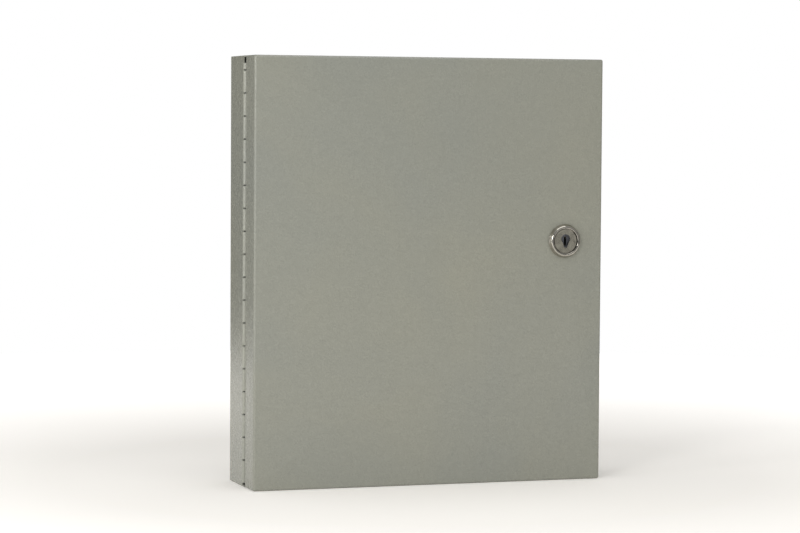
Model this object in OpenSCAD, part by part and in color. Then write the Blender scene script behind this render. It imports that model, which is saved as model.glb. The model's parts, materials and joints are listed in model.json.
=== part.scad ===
// Fire alarm control panel: a wall cabinet with a hinged door, a cam lock and the works inside.
// Origin: centre of the back face, where it meets the wall. +X right, +Y into the wall, +Z up.

/* [Cabinet] */
// Outside width
cabinet_w = 304.8; // [304:0.1:320]
// Outside height
cabinet_h = 355.6; // [355:0.1:380]
// Outside depth, door included
cabinet_d = 76.2; // [76:0.1:90]
// Thickness of the sheet steel
sheet_t = 1.2; // [1:0.1:1.3]
// Outside radius of the folds
fold_r = 2; // [1.6:0.1:2.6]
// Depth of the door pan
door_d = 26.3; // [25.8:0.1:26.3]
// Width of the return lip behind the lock
lip_w = 12; // [11:0.5:14]
// Width between the wall screws
wall_hole_dx = 254; // [250:1:258]
// Height between the wall screws
wall_hole_dz = 304.8; // [300:1:310]
// Radius of the wall screw holes
wall_hole_r = 3.2; // [2.5:0.1:3.5]
// Radius of the knockouts
knockout_r = 11.1; // [9:0.1:12]

/* [Hinge] */
// Length of one knuckle with its gap
knuckle_pitch = 18.9; // [18.5:0.1:19.3]
// Outside radius of the knuckles
knuckle_r = 2.3; // [2.2:0.05:2.35]
// Radius of the hinge pin
pin_r = 1.2; // [1:0.05:1.25]
// Thickness of the leaves
leaf_t = 1.1; // [0.9:0.1:1.1]
// Width of a leaf from the pin's centre
leaf_w = 24; // [15:1:26]

/* [Lock] */
// Distance from the door's right edge to the lock's centre
lock_from_right = 34; // [33:0.5:36]
// Height of the lock's centre above the middle of the door
lock_z = 24.8; // [20:0.1:30]
// Radius of the bezel
bezel_r = 14.2; // [13.5:0.1:15]
// Length of the cam from the lock's centre
cam_l = 26; // [24:0.5:27]

/* [Circuit board] */
// Width of the board
board_w = 230; // [228:1:236]
// Height of the board
board_h = 180; // [178:1:182]
// Height of the board's centre above the middle of the cabinet
board_z = 52; // [50:1:54]
// Length of the standoffs
standoff_l = 10; // [8:0.5:10]

/* [Batteries] */
// Width of one battery
battery_w = 90; // [86:1:90]
// Depth of one battery
battery_d = 70; // [65:1:70]
// Height of one battery over its lid
battery_h = 101; // [95:1:101]

/* [Hidden] */

powder = [0.56, 0.56, 0.52];
steel = [0.72, 0.72, 0.7];
black = [0.1, 0.1, 0.11];

// Cabinet: heights off the wall and half sizes
half_w = cabinet_w / 2;
half_h = cabinet_h / 2;
inner_half_w = half_w - sheet_t;
inner_half_h = half_h - sheet_t;
door_gap = 1.5;
box_d = cabinet_d - door_d - door_gap;
hinge_wall_cut = 6.9;
knockout_groove = 0.5;
knockout_tie = 3;

// Hinge: its pin lies just inside the side face, halfway through the depth
hinge_inset = 0.9;
hinge_x = -half_w + hinge_inset;
hinge_y = -(cabinet_d - 30.5);
hinge_bottom = -half_h + 3.5;
hinge_top = half_h - 5.6;
hinge_l = hinge_top - hinge_bottom;
knuckle_gap = 0.25;
knuckle_count = ceil(hinge_l / knuckle_pitch);
pin_play = 0.05;
leaf_play = 0.3;

// Lock
lock_x = half_w - lock_from_right;
tube_r = 9.5;
tube_flat = 8.3;
tube_l = 27.5;
bezel_h = 4.2;
bezel_rim_h = 1;
bezel_top_r = 11.3;
plug_face_r = 9.95;
plug_face_top = 3.4;
plug_face_t = 1.1;
plug_r = 7.55;
plug_l = 30.3;
fit = 0.05;
key_guide_r = 4;
key_guide_lift = 1.8;
key_guide_tip = 7.2;
key_tip_half_w = 1.1;
key_guide_depth = 1.6;
keyway_w = 1.8;
keyway_h = 7.6;
wafer_t = 0.6;
wafer_w = 5.5;
wafer_count = 5;
wafer_pitch = 3.2;
cam_t = 2;
tang = 5.5;

// Circuit board
board_t = 1.6;
board_bottom_u = sheet_t + standoff_l;
board_top_u = board_bottom_u + board_t;
board_half_w = board_w / 2;
board_half_h = board_h / 2;
board_points = [for (x = [-1, 0, 1], z = [-1, 1]) [x * (board_half_w - 7), z * (board_half_h - 5)]];
switch_points = [[-30, -66], [-5, -66], [20, -66]];

// Transformer, mains terminal and earth stud
transformer_x = 84;
transformer_z = -112;
core_w = 60;
core_h = 50;
core_stack = 25;
bracket_foot = 38;
mains_x = 84;
mains_z = -161;
mains_ways = 3;
mains_pitch = 11;
mains_foot = 24;
earth_x = 139;
earth_z = -124;
stud_r = 2;
earth_stud_r = 2.5;

// Batteries: two side by side at the lower left
battery_gap = 2;
battery_left = -inner_half_w + 5.2;
battery_xs = [battery_left + battery_w / 2, battery_left + battery_w * 1.5 + battery_gap];
battery_foot = 0.5;
battery_back = sheet_t + 0.5;
battery_u = battery_back + battery_d / 2;
lid_h = 9;
battery_bottom = -inner_half_h + battery_foot;
battery_top = battery_bottom + battery_h;
tab_dx = 33;
connector_top = battery_top + 16;

// Lead routes, as x, distance off the wall, height
socket_x = -14;
socket_z = board_z - board_half_h + 8;
wire_r = 1.3;
socket_face_z = socket_z - 6;
red_route = [
    [24, battery_u, connector_top], [24, battery_u, -52], [21, 31, -46], [9, 24, -44],
    [-4, 21, -43], [socket_x + 3.5, 20, -40], [socket_x + 3.5, 20, socket_face_z]
];
black_route = [
    [-134, battery_u, connector_top], [-134, battery_u, -52], [-129, 30, -46], [-110, 24, -44],
    [-75, 22, -44], [-42, 21, -44], [-24, 20.5, -43], [socket_x - 3.5, 20, -40],
    [socket_x - 3.5, 20, socket_face_z]
];
jumper_route = [
    [-68, battery_u, connector_top], [-68, battery_u, -53], [-63, battery_u, -49],
    [-55, battery_u, -48], [-47, battery_u, -49], [-42, battery_u, -53], [-42, battery_u, connector_top]
];
secondary_x = [80, 87];
coil_half_z = core_stack / 2 + 9;

// Draws its children standing off the wall: local X right, Y up, Z away from the wall
module facing(x, z, u) {
    translate([x, -u, z]) rotate([90, 0, 0]) children();
}

// The same, on the front of the circuit board, from the board's centre
module on_board(x, z) {
    facing(x, board_z + z, board_top_u) children();
}

module centred_box(w, h, d) {
    translate([-w / 2, -h / 2, 0]) cube([w, h, d]);
}

module disc(r, h, sides = 48) {
    cylinder(r = r, h = h, $fn = sides);
}

module hex(across_flats, h) {
    cylinder(r = across_flats / sqrt(3), h = h, $fn = 6);
}

// Section of a folded pan: flat edge on y = 0, folds at the other two corners
module fold_section(w, d, r) {
    translate([-w / 2, 0]) square([w, d - r]);
    translate([r - w / 2, 0]) square([w - 2 * r, d]);
    for (side = [-1, 1]) translate([side * (w / 2 - r), d - r]) circle(r = r, $fn = 48);
}

// Block with its four far edges rounded, from z = 0 to z = d
module pan_block(w, h, d, r) {
    intersection() {
        rotate([90, 0, 0]) linear_extrude(height = h, center = true) fold_section(w, d, r);
        rotate([90, 0, 90]) linear_extrude(height = w, center = true) fold_section(h, d, r);
    }
}

// Tray folded from sheet: open at z = 0, closed at z = d
module folded_pan(w, h, d) {
    difference() {
        pan_block(w, h, d, fold_r);
        translate([0, 0, -1])
            pan_block(w - 2 * sheet_t, h - 2 * sheet_t, d - sheet_t + 1, fold_r - sheet_t);
    }
}

// Groove that outlines a knockout in a wall, broken by two ties
module knockout_outline() {
    difference() {
        disc(knockout_r, sheet_t / 2 + 1);
        translate([0, 0, -1]) disc(knockout_r - knockout_groove, sheet_t / 2 + 3);
        translate([0, 0, -1]) centred_box(2 * knockout_r + 2, knockout_tie, sheet_t / 2 + 3);
    }
}

module back_box() color(powder) {
    difference() {
        translate([0, -box_d, 0]) rotate([-90, 0, 0]) folded_pan(cabinet_w, cabinet_h, box_d);
        // the hinge side wall stops short, behind the knuckles
        translate([-half_w - 1, -box_d - 1, -inner_half_h])
            cube([sheet_t + 1, hinge_wall_cut + 1, 2 * inner_half_h]);
        for (x = [-1, 1], z = [-1, 1])
            facing(x * wall_hole_dx / 2, z * wall_hole_dz / 2, -1) disc(wall_hole_r, sheet_t + 2);
        for (x = [-80, 0, 80])
            translate([x, -22, half_h - sheet_t / 2]) knockout_outline();
        for (x = [-60, 60])
            translate([x, -22, -half_h + sheet_t / 2]) mirror([0, 0, 1]) knockout_outline();
        for (z = [-30, 100])
            translate([half_w - sheet_t / 2, -22, z]) rotate([0, 90, 0]) knockout_outline();
    }
    // return lips behind the door's free edge and along the top
    facing(inner_half_w - lip_w, -inner_half_h, box_d - sheet_t) cube([lip_w, 2 * inner_half_h, sheet_t]);
    facing(-inner_half_w + 8, inner_half_h - 8, box_d - sheet_t) cube([2 * inner_half_w - 8, 8, sheet_t]);
}

module door() color(powder) {
    difference() {
        facing(0, 0, cabinet_d - door_d) folded_pan(cabinet_w, cabinet_h, door_d);
        facing(lock_x, lock_z, cabinet_d - sheet_t - 1) flatted(tube_r + 0.1, tube_flat + 0.1, sheet_t + 2);
    }
}

// Round bar with a flat on its left and right sides
module flatted(r, flat, h) {
    intersection() {
        disc(r, h);
        centred_box(2 * flat, 2 * r + 1, h);
    }
}

// Height of knuckle number i, and its length: the last one is cut short
function knuckle_z(i) = hinge_bottom + i * knuckle_pitch;
function knuckle_length(i) = min(knuckle_pitch, hinge_top - knuckle_z(i)) - knuckle_gap;

// Hinge leaf: side -1 lies along the door's flange, +1 along the box's wall
module hinge_leaf(side, first) {
    leaf_x = sheet_t - hinge_inset;
    root = knuckle_r + leaf_play;
    translate([hinge_x, hinge_y, 0]) difference() {
        union() {
            translate([leaf_x, side > 0 ? root : -leaf_w, hinge_bottom])
                cube([leaf_t, leaf_w - root, hinge_l]);
            for (i = [first:2:knuckle_count - 1]) translate([0, 0, knuckle_z(i)]) {
                disc(knuckle_r, knuckle_length(i));
                translate([leaf_x, side > 0 ? 0 : -root - 0.1, 0])
                    cube([leaf_t, root + 0.1, knuckle_length(i)]);
            }
        }
        translate([0, 0, hinge_bottom - 1]) disc(pin_r + pin_play, hinge_l + 2);
    }
}

module hinge_door_leaf() color(powder) hinge_leaf(-1, 0);

module hinge_box_leaf() color(powder) hinge_leaf(1, 1);

module hinge_pin() color(steel) {
    translate([hinge_x, hinge_y, hinge_bottom]) disc(pin_r, hinge_l - knuckle_gap);
}

// Lock pieces are drawn from the door's front face, local Z out of the door
module at_lock() {
    facing(lock_x, lock_z, cabinet_d) children();
}

module lock_housing() color([0.8, 0.8, 0.82]) at_lock() difference() {
    union() {
        disc(bezel_r, bezel_rim_h, 96);
        translate([0, 0, bezel_rim_h])
            cylinder(r1 = bezel_r, r2 = bezel_top_r, h = bezel_h - bezel_rim_h, $fn = 96);
        translate([0, 0, -tube_l]) flatted(tube_r, tube_flat, tube_l + 0.5);
    }
    translate([0, 0, plug_face_top - plug_face_t - fit]) disc(plug_face_r + fit, bezel_h, 96);
    translate([0, 0, -tube_l - 1]) disc(plug_r + fit, tube_l + bezel_h);
}

module lock_washer() color(steel) at_lock() translate([0, 0, -sheet_t - 0.8]) difference() {
    disc(13, 0.8);
    translate([0, 0, -1]) disc(tube_r + fit, 3);
}

module lock_nut() color(steel) at_lock() translate([0, 0, -sheet_t - 4.8]) difference() {
    hex(22, 4);
    translate([0, 0, -1]) disc(tube_r + fit, 6);
}

module lock_plug() color([0.74, 0.73, 0.7]) at_lock() difference() {
    union() {
        translate([0, 0, plug_face_top - plug_face_t]) disc(plug_face_r, plug_face_t, 96);
        translate([0, 0, -plug_l]) disc(plug_r, plug_l + plug_face_top - 0.2);
        translate([0, 0, -plug_l - cam_t]) centred_box(tang, tang, cam_t + 1);
    }
    // pocket that guides the key, round above and narrow below, then the keyway
    translate([0, key_guide_lift, plug_face_top - key_guide_depth]) {
        disc(key_guide_r, 3);
        linear_extrude(height = 3)
            polygon([
                [-3.2, -2], [3.2, -2], [key_tip_half_w, -key_guide_tip], [-key_tip_half_w, -key_guide_tip]
            ]);
    }
    translate([0, 0, plug_face_top - 24]) centred_box(keyway_w, keyway_h, 30);
    for (i = [0:wafer_count - 1]) translate([0, 0, -4 - i * wafer_pitch])
        centred_box(wafer_w + 0.2, 2 * plug_r + 1, wafer_t + 0.2);
    translate([0, 0, -plug_l - cam_t - 1]) disc(1.5, 8);
}

module lock_wafers() color([0.85, 0.7, 0.35]) at_lock() {
    for (i = [0:wafer_count - 1]) translate([0, 0, 0.1 - 4 - i * wafer_pitch]) difference() {
        centred_box(wafer_w, 13.4, wafer_t);
        translate([0, i % 2 - 0.5, -1]) centred_box(keyway_w + 1, keyway_h - 1, 3);
    }
}

module lock_cam() color(steel) at_lock() translate([0, 0, -plug_l - cam_t]) difference() {
    union() {
        disc(8, cam_t);
        translate([-6, -cam_l + 6, 0]) cube([12, cam_l - 6, cam_t]);
        translate([0, -cam_l + 6, 0]) disc(6, cam_t);
    }
    translate([0, 0, -1]) centred_box(tang + 0.1, tang + 0.1, cam_t + 2);
}

module cam_screw() color(steel) at_lock() translate([0, 0, -plug_l - cam_t]) difference() {
    union() {
        translate([0, 0, -2]) disc(4.2, 2);
        disc(1.45, 5);
    }
    for (turn = [0, 90]) rotate([0, 0, turn]) translate([0, 0, -3]) centred_box(4.4, 0.9, 2);
}

module wiring_sheet() color([0.93, 0.93, 0.9]) {
    facing(-25, 40, cabinet_d - sheet_t - 0.2) centred_box(150, 190, 0.2);
}

// Studs welded to the back: two for the transformer, two for the mains terminal, one for earth
module weld_studs() color(steel) {
    for (side = [-1, 1]) {
        facing(transformer_x + side * bracket_foot, transformer_z, sheet_t) disc(stud_r, 9);
        facing(mains_x + side * mains_foot, mains_z, sheet_t) disc(stud_r, 9);
    }
    facing(earth_x, earth_z, sheet_t) disc(earth_stud_r, 16);
}

module ring_nut(across_flats, h, bore) {
    difference() {
        hex(across_flats, h);
        translate([0, 0, -1]) disc(bore, h + 2);
    }
}

module hex_nuts() color(steel) {
    for (side = [-1, 1]) {
        facing(transformer_x + side * bracket_foot, transformer_z, 2 * sheet_t)
            ring_nut(7, 3.2, stud_r + fit);
        facing(mains_x + side * mains_foot, mains_z, sheet_t + 3)
            ring_nut(7, 3.2, stud_r + fit);
    }
    for (lift = [0, 5])
        facing(earth_x, earth_z, sheet_t + lift) ring_nut(8, 4, earth_stud_r + fit);
}

module board_standoffs() color(steel) {
    for (p = board_points) facing(p[0], board_z + p[1], sheet_t) difference() {
        hex(5.5, standoff_l);
        translate([0, 0, 2]) disc(1.5, standoff_l);
    }
}

module main_board() color([0.05, 0.3, 0.16]) {
    facing(0, board_z, board_bottom_u) difference() {
        centred_box(board_w, board_h, board_t);
        for (p = board_points) translate([p[0], p[1], -1]) disc(1.7, board_t + 2);
    }
}

module pan_screw(head_r, head_h, shank_r, shank_l) {
    difference() {
        union() {
            disc(head_r, head_h);
            translate([0, 0, -shank_l]) disc(shank_r, shank_l + 0.5);
        }
        for (turn = [0, 90]) rotate([0, 0, turn])
            translate([0, 0, head_h / 2]) centred_box(head_r * 1.2, 0.7, head_h);
    }
}

module board_screws() color(steel) {
    for (p = board_points) on_board(p[0], p[1]) pan_screw(2.9, 2.2, 1.45, 6);
}

// Field terminals: four six-way blocks along the top and two down the left edge
way = 8;
block_ways = 6;
block_l = way * block_ways + 1;
block_d = 14;
block_h = 13;
top_blocks = [-81, -27, 27, 81];
side_blocks = [-22, 30];

module each_block() {
    for (x = top_blocks) on_board(x, 73) children();
    for (z = side_blocks) on_board(-105, z) rotate([0, 0, 90]) children();
}

module each_way() {
    for (i = [0:block_ways - 1]) translate([(i - (block_ways - 1) / 2) * way, 0, 0]) children();
}

module field_terminals() color([0.07, 0.32, 0.2]) each_block() difference() {
    union() {
        centred_box(block_l, block_d, block_h - 3);
        translate([0, -2, 0]) centred_box(block_l, block_d - 4, block_h);
    }
    each_way() {
        translate([-1.9, block_d / 2 - 8, 2.2]) cube([3.8, 9, 3.9]);
        translate([0, -2, block_h - 4]) disc(2.7, 5, 32);
    }
}

module terminal_screws() color(steel)
each_block() each_way() translate([0, -2, block_h - 4]) difference() {
    disc(2.4, 2.2, 32);
    translate([0, 0, 1.2]) centred_box(5, 0.8, 2);
}

// Chip with its two rows of legs
module dual_chip(l, w, h, pitch, legs) {
    translate([0, 0, 0.5]) difference() {
        centred_box(l, w, h);
        translate([-l / 2, 0, h - 0.4]) disc(0.9, 1, 24);
    }
    for (side = [-1, 1], i = [0:legs - 1])
        translate([(i - (legs - 1) / 2) * pitch, side * (w / 2 + 0.25), 0]) centred_box(0.5, 0.5, 2.2);
}

module processor() color(black) on_board(0, 2) {
    difference() {
        centred_box(24, 24, 3);
        translate([0, 0, 1.5]) centred_box(18.4, 18.4, 2);
    }
    translate([0, 0, 1.5]) centred_box(17.6, 17.6, 3.2);
}

module logic_chips() color(black) {
    for (x = [-72, -46], z = [8, -10, -28]) on_board(x, z) dual_chip(19.6, 6.4, 3.4, 2.54, 7);
    on_board(32, 0) rotate([0, 0, 90]) dual_chip(32, 13.4, 4, 2.54, 12);
}

module crystal() color(steel) on_board(0, -20) {
    translate([-3.3, 0, 0]) disc(2.3, 3.6, 32);
    translate([3.3, 0, 0]) disc(2.3, 3.6, 32);
    translate([-3.3, -2.3, 0]) cube([6.6, 4.6, 3.6]);
}

module relays() color([0.92, 0.92, 0.88]) {
    for (i = [0:3]) on_board(-82 + i * 24, 44) union() {
        centred_box(19, 15.5, 14);
        translate([0, 0, 14]) centred_box(17.6, 14.1, 1);
    }
}

// Electrolytic cans: x, z, radius, height
cans = [[62, 22, 8, 25], [62, 3, 8, 25], [46, 26, 5, 16], [30, 27, 5, 12], [62, -16, 6.3, 20]];

module capacitor_cans() color([0.12, 0.14, 0.3]) {
    for (c = cans) on_board(c[0], c[1]) {
        disc(c[2], 1);
        translate([0, 0, 1]) disc(c[2] - 0.35, 0.8);
        translate([0, 0, 1.8]) disc(c[2], c[3] - 1.8);
    }
}

// Part lying on its two bent legs, along X
module axial_part(r, l) {
    translate([-l / 2, 0, r + 0.4]) rotate([0, 90, 0]) cylinder(r = r, h = l, $fn = 24);
    for (side = [-1, 1]) {
        translate([side * (l / 2 + 1.6) - 0.3, -0.3, 0]) cube([0.6, 0.6, r + 0.7]);
        translate([side * (l / 2 + 0.85) - 0.85, -0.3, r + 0.1]) cube([1.7, 0.6, 0.6]);
    }
}

module resistors() color([0.75, 0.65, 0.5]) {
    for (i = [0:9]) on_board(-86 + i * 8.5, 27) rotate([0, 0, 90]) axial_part(1.2, 6);
    for (i = [0:5]) on_board(-76, -42 - i * 5) axial_part(1.2, 6);
    for (i = [0:3]) on_board(84, -34 - i * 5) axial_part(1.2, 6);
}

module diodes() color(black) {
    for (i = [0:4]) on_board(-58, -42 - i * 6) axial_part(1.4, 5);
    for (i = [0:3]) on_board(44 + i * 8, -34) rotate([0, 0, 90]) axial_part(2, 8);
}

// Two-row pin header: shroud open to the front, pins inside
module pin_headers() color(black) {
    on_board(52, -54) {
        difference() {
            centred_box(20, 9, 9);
            translate([0, 0, 2]) centred_box(17.6, 6.6, 8);
        }
        for (i = [-2:2], row = [-1, 1])
            translate([i * 2.54, row * 1.27, 2]) centred_box(0.64, 0.64, 6);
    }
}

module heat_sink() color([0.2, 0.2, 0.21]) on_board(92, 18) {
    centred_box(4, 44, 24);
    for (i = [0:6]) translate([2, -20.75 + i * 6.7, 0]) cube([9, 1.3, 24]);
}

module power_transistors() color(black) {
    for (z = [28, 8]) on_board(90, z) {
        translate([-4.4, -5, 6]) cube([4.4, 10, 9]);
        translate([-1.3, -5, 15]) cube([1.3, 10, 6.5]);
        for (leg = [-1, 0, 1]) translate([-2.6, leg * 2.54 - 0.4, 0]) cube([0.6, 0.8, 6]);
    }
}

module transistor_screws() color(steel) {
    for (z = [28, 8]) on_board(90, z) translate([-1.3, 0, 18.2]) rotate([0, -90, 0]) difference() {
        disc(2.6, 1.9, 32);
        translate([0, 0, 1]) centred_box(6, 0.7, 2);
    }
}

// Fuses lie in two clips each, along X
fuse_points = [[36, 51], [66, 51], [36, 39], [66, 39]];
fuse_r = 2.6;
fuse_l = 20;
fuse_lift = 5.5;

module fuse_clips() color([0.8, 0.78, 0.7]) {
    for (p = fuse_points, side = [-1, 1]) on_board(p[0] + side * 7.4, p[1]) {
        difference() {
            centred_box(5, 2 * fuse_r + 1.4, fuse_lift + 3.2);
            translate([-3, 0, fuse_lift]) rotate([0, 90, 0]) disc(fuse_r + fit, 6);
            translate([0, 0, fuse_lift]) centred_box(6, 2 * fuse_r - 0.6, 4);
            translate([0, 0, 1]) centred_box(6, 2 * fuse_r - 1.4, fuse_lift);
        }
    }
}

module fuse_tubes() color([0.8, 0.88, 0.9]) {
    for (p = fuse_points) on_board(p[0] - fuse_l / 2 + 5, p[1])
        translate([0, 0, fuse_lift]) rotate([0, 90, 0]) difference() {
            disc(fuse_r - 0.1, fuse_l - 10);
            translate([0, 0, -1]) disc(fuse_r - 0.8, fuse_l);
        }
}

module fuse_caps() color([0.8, 0.8, 0.78]) {
    for (p = fuse_points, side = [-1, 1]) on_board(p[0] + side * (fuse_l / 2 - 2.5) - 2.5, p[1])
        translate([0, 0, fuse_lift]) rotate([0, 90, 0]) disc(fuse_r, 5);
}

// Round-topped lamp with a collar
module lamp(r) {
    disc(r + 0.4, 1, 32);
    disc(r, 2 * r, 32);
    translate([0, 0, 2 * r]) intersection() {
        sphere(r = r, $fn = 32);
        translate([0, 0, -0.01]) disc(r + 1, r + 1, 32);
    }
}

module alarm_lamps() color([0.75, 0.08, 0.06]) {
    for (i = [0:3]) on_board(-26 + i * 12, -48) lamp(2.5);
}

module trouble_lamps() color([0.9, 0.65, 0.08]) {
    for (i = [0:3]) on_board(-20 + i * 12, -38) lamp(1.5);
}

module power_lamp() color([0.15, 0.65, 0.2]) on_board(28, -48) lamp(2.5);

module sounder() color(black) on_board(-100, -68) difference() {
    disc(12, 9.5, 64);
    translate([0, 0, 7]) disc(1.6, 4, 32);
}

// Push switch: the cap's stem slides in the base
switch_w = 12;
base_h = 6;
stem_r = 3;
cap_lift = 1.2;

module switch_bases() color(black) {
    for (p = switch_points) on_board(p[0], p[1]) difference() {
        centred_box(switch_w, switch_w, base_h);
        translate([0, 0, 1]) disc(stem_r + fit, base_h);
    }
}

module button(place, tint) color(tint) on_board(place[0], place[1]) {
    translate([0, 0, base_h + cap_lift]) disc(5.5, 4);
    translate([0, 0, 3]) disc(stem_r, base_h + cap_lift - 2.5);
}

module silence_button() button(switch_points[0], [0.85, 0.75, 0.2]);
module acknowledge_button() button(switch_points[1], [0.2, 0.4, 0.7]);
module reset_button() button(switch_points[2], [0.75, 0.12, 0.1]);

// Two-way sockets on the board's lower edge, for the battery and the transformer
module lead_sockets() color([0.9, 0.9, 0.86]) {
    for (x = [socket_x, (secondary_x[0] + secondary_x[1]) / 2])
        facing(x, socket_z, board_top_u) difference() {
            centred_box(15, 12, 11.5);
            translate([0, 0, 9.5]) centred_box(11, 5, 3);
        }
}

// Transformer: a core of E and I plates, its coil round the middle leg, held by a strap
leg = core_w / 6;

module at_transformer() {
    facing(transformer_x, transformer_z, sheet_t) children();
}

module transformer_core() color([0.3, 0.3, 0.32]) at_transformer() difference() {
    centred_box(core_w, core_stack, core_h);
    for (side = [-1, 1])
        translate([side * 1.5 * leg, 0, leg]) centred_box(leg, core_stack + 2, core_h - 2 * leg);
}

module transformer_coil() color([0.75, 0.6, 0.25]) at_transformer() translate([0, 0, leg + 0.3]) {
    difference() {
        centred_box(4 * leg - 0.6, 2 * coil_half_z, core_h - 2 * leg - 0.6);
        translate([0, 0, -1]) centred_box(2 * leg + 0.4, core_stack + 0.4, core_h);
    }
}

module transformer_bracket() color(steel) at_transformer() {
    difference() {
        union() {
            centred_box(core_w + 2 * sheet_t, core_stack, core_h + sheet_t);
            centred_box(2 * bracket_foot + 12, core_stack, sheet_t);
        }
        translate([0, 0, -1]) centred_box(core_w, core_stack + 2, core_h + 1);
        for (side = [-1, 1]) translate([side * bracket_foot, 0, -1]) disc(stud_r + 0.15, sheet_t + 2);
    }
}

// Mains terminal: a barrier strip on two studs, under a clear cover
module at_mains() {
    facing(mains_x, mains_z, sheet_t) children();
}

mains_l = mains_ways * mains_pitch + 3;

module mains_terminal() color(black) at_mains() difference() {
    union() {
        centred_box(2 * mains_foot + 9, 12, 3);
        centred_box(mains_l, 18, 9);
        for (i = [0:mains_ways])
            translate([(i - mains_ways / 2) * mains_pitch, 0, 0]) centred_box(2, 18, 15);
    }
    for (side = [-1, 1]) translate([side * mains_foot, 0, -1]) disc(stud_r + 0.15, 6);
}

module mains_screws() color(steel) at_mains() {
    for (i = [-1:1], row = [-1, 1]) translate([i * mains_pitch, row * 4.6, 9]) {
        centred_box(8, 7.5, 0.8);
        translate([0, 0, 0.8]) difference() {
            disc(3, 2, 32);
            translate([0, 0, 1]) centred_box(7, 0.8, 2);
        }
    }
}

module mains_cover() color([0.85, 0.9, 0.92]) at_mains() {
    translate([0, 0, 15]) centred_box(mains_l, 20, 1.2);
    for (side = [-1, 1]) translate([side * (mains_l / 2 + 0.6), 0, 3]) centred_box(1.2, 20, 13.2);
}

module earth_ring() color(steel) facing(earth_x, earth_z, sheet_t + 4) difference() {
    union() {
        disc(4.6, 1);
        translate([-1.9, -9, 0]) cube([3.8, 6, 1]);
        translate([0, -8, 1]) rotate([90, 0, 0]) disc(1.9, 7, 32);
    }
    translate([0, 0, -1]) disc(earth_stud_r + 0.15, 3);
    translate([0, -9, 1]) rotate([90, 0, 0]) disc(1.35, 7, 32);
}

// Battery: case and lid
module each_battery() {
    for (x = battery_xs) translate([x, -battery_u, battery_bottom]) children();
}

module battery_cases() color([0.12, 0.12, 0.13]) each_battery() {
    difference() {
        translate([-battery_w / 2, -battery_d / 2, 0]) cube([battery_w, battery_d, battery_h - lid_h]);
        for (x = [-1, 1]) translate([x * battery_w / 2, -battery_d / 2, -1])
            rotate([0, 0, 45]) cube([2, 2, 2 * battery_h], center = true);
    }
    for (x = [-1, 1], y = [-5, battery_d / 2 - 8])
        translate([x * (battery_w / 2 - 10) - 4, y, -battery_foot]) cube([8, 6, battery_foot + 0.1]);
}

module battery_lids() color([0.16, 0.16, 0.17])
each_battery() translate([0, 0, battery_h - lid_h]) difference() {
    translate([0.4 - battery_w / 2, 0.4 - battery_d / 2, 0])
        cube([battery_w - 0.8, battery_d - 0.8, lid_h]);
    for (x = [-tab_dx, tab_dx]) translate([x - 7, -8, lid_h - 4]) cube([14, 16, 5]);
    translate([-22, -20, lid_h - 1]) cube([44, 40, 2]);
}

module battery_tabs() color([0.78, 0.78, 0.76]) each_battery() {
    for (x = [-tab_dx, tab_dx]) translate([x - 3.15, -0.4, battery_h - 4]) cube([6.3, 0.8, 11]);
}

module battery_connectors() color([0.85, 0.85, 0.82]) each_battery() {
    for (x = [-tab_dx, tab_dx]) translate([x, 0, battery_h - 1]) difference() {
        translate([-4.2, -2.6, 0]) cube([8.4, 5.2, 17]);
        translate([-3.25, -0.5, -1]) cube([6.5, 1, 10]);
    }
}

// Round lead swept along a smooth curve through its points
lead_sides = 8;
lead_steps = 5;
function unit(v) = v / norm(v);
function spline(a, b, c, d, s) =
    0.5 * (2 * b + (c - a) * s + (2 * a - 5 * b + 4 * c - d) * s * s + (3 * b - a - 3 * c + d) * s * s * s);
function smooth_route(p, n) = [
    for (i = [0:len(p) - 2], k = [0:n - 1])
        spline(p[max(i - 1, 0)], p[i], p[i + 1], p[min(i + 2, len(p) - 1)], k / n),
    p[len(p) - 1]
];
function across(v, t) = unit(v - (v * t) * t);
// Sideways directions carried along the curve without twisting, one for each tangent
function carried(tangents) = [
    for (i = 0, v = across([0.6, 0.3, 0.1], tangents[0]); i < len(tangents);
        i = i + 1, v = i < len(tangents) ? across(v, tangents[i]) : v) v
];

module lead(route, r) {
    stations = [for (p = route) [p[0], -p[1], p[2]]];
    points = smooth_route(stations, lead_steps);
    last = len(points) - 1;
    // both ends are cut square to the route's first and last stretch
    tangents = [
        unit(stations[1] - stations[0]),
        for (i = [1:last - 1]) unit(points[i + 1] - points[i - 1]),
        unit(stations[len(route) - 1] - stations[len(route) - 2])
    ];
    sideways = carried(tangents);
    ring = [for (i = [0:last], k = [0:lead_sides - 1])
        let (a = 360 * k / lead_sides, w = cross(tangents[i], sideways[i]))
        points[i] + r * (cos(a) * sideways[i] + sin(a) * w)];
    walls = [for (i = [0:last - 1], k = [0:lead_sides - 1])
        let (next = (k + 1) % lead_sides, row = i * lead_sides)
        [row + k, row + lead_sides + k, row + lead_sides + next, row + next]];
    ends = [
        [for (k = [0:lead_sides - 1]) k],
        [for (k = [lead_sides - 1:-1:0]) last * lead_sides + k]
    ];
    polyhedron(points = ring, faces = concat(walls, ends), convexity = 6);
}

module battery_lead_red() color([0.75, 0.1, 0.08]) lead(red_route, wire_r);
module battery_lead_black() color(black) lead(black_route, wire_r);
module battery_jumper() color([0.75, 0.1, 0.08]) lead(jumper_route, wire_r);

module secondary_leads() color([0.9, 0.75, 0.15]) {
    for (i = [0, 1])
        let (x = secondary_x[i], top = transformer_z + coil_half_z)
        lead([[x, 26, top], [x, 26, top + 8], [x + 1 - 2 * i, 25, -70], [x, 21, -50], [x, 20, -43],
            [x, 20, socket_face_z]], 1.1);
}

module primary_leads() color(black) {
    for (i = [0, 1])
        let (x = mains_x - mains_pitch * (1 - i), bottom = transformer_z - coil_half_z)
        lead([[mains_x - 4 + 6 * i, 24, bottom], [mains_x - 4 + 6 * i, 24, bottom - 4], [x, 15, -145],
            [x, 12.9, -149.5], [x, 12.9, mains_z + 9]], 1);
}

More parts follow.
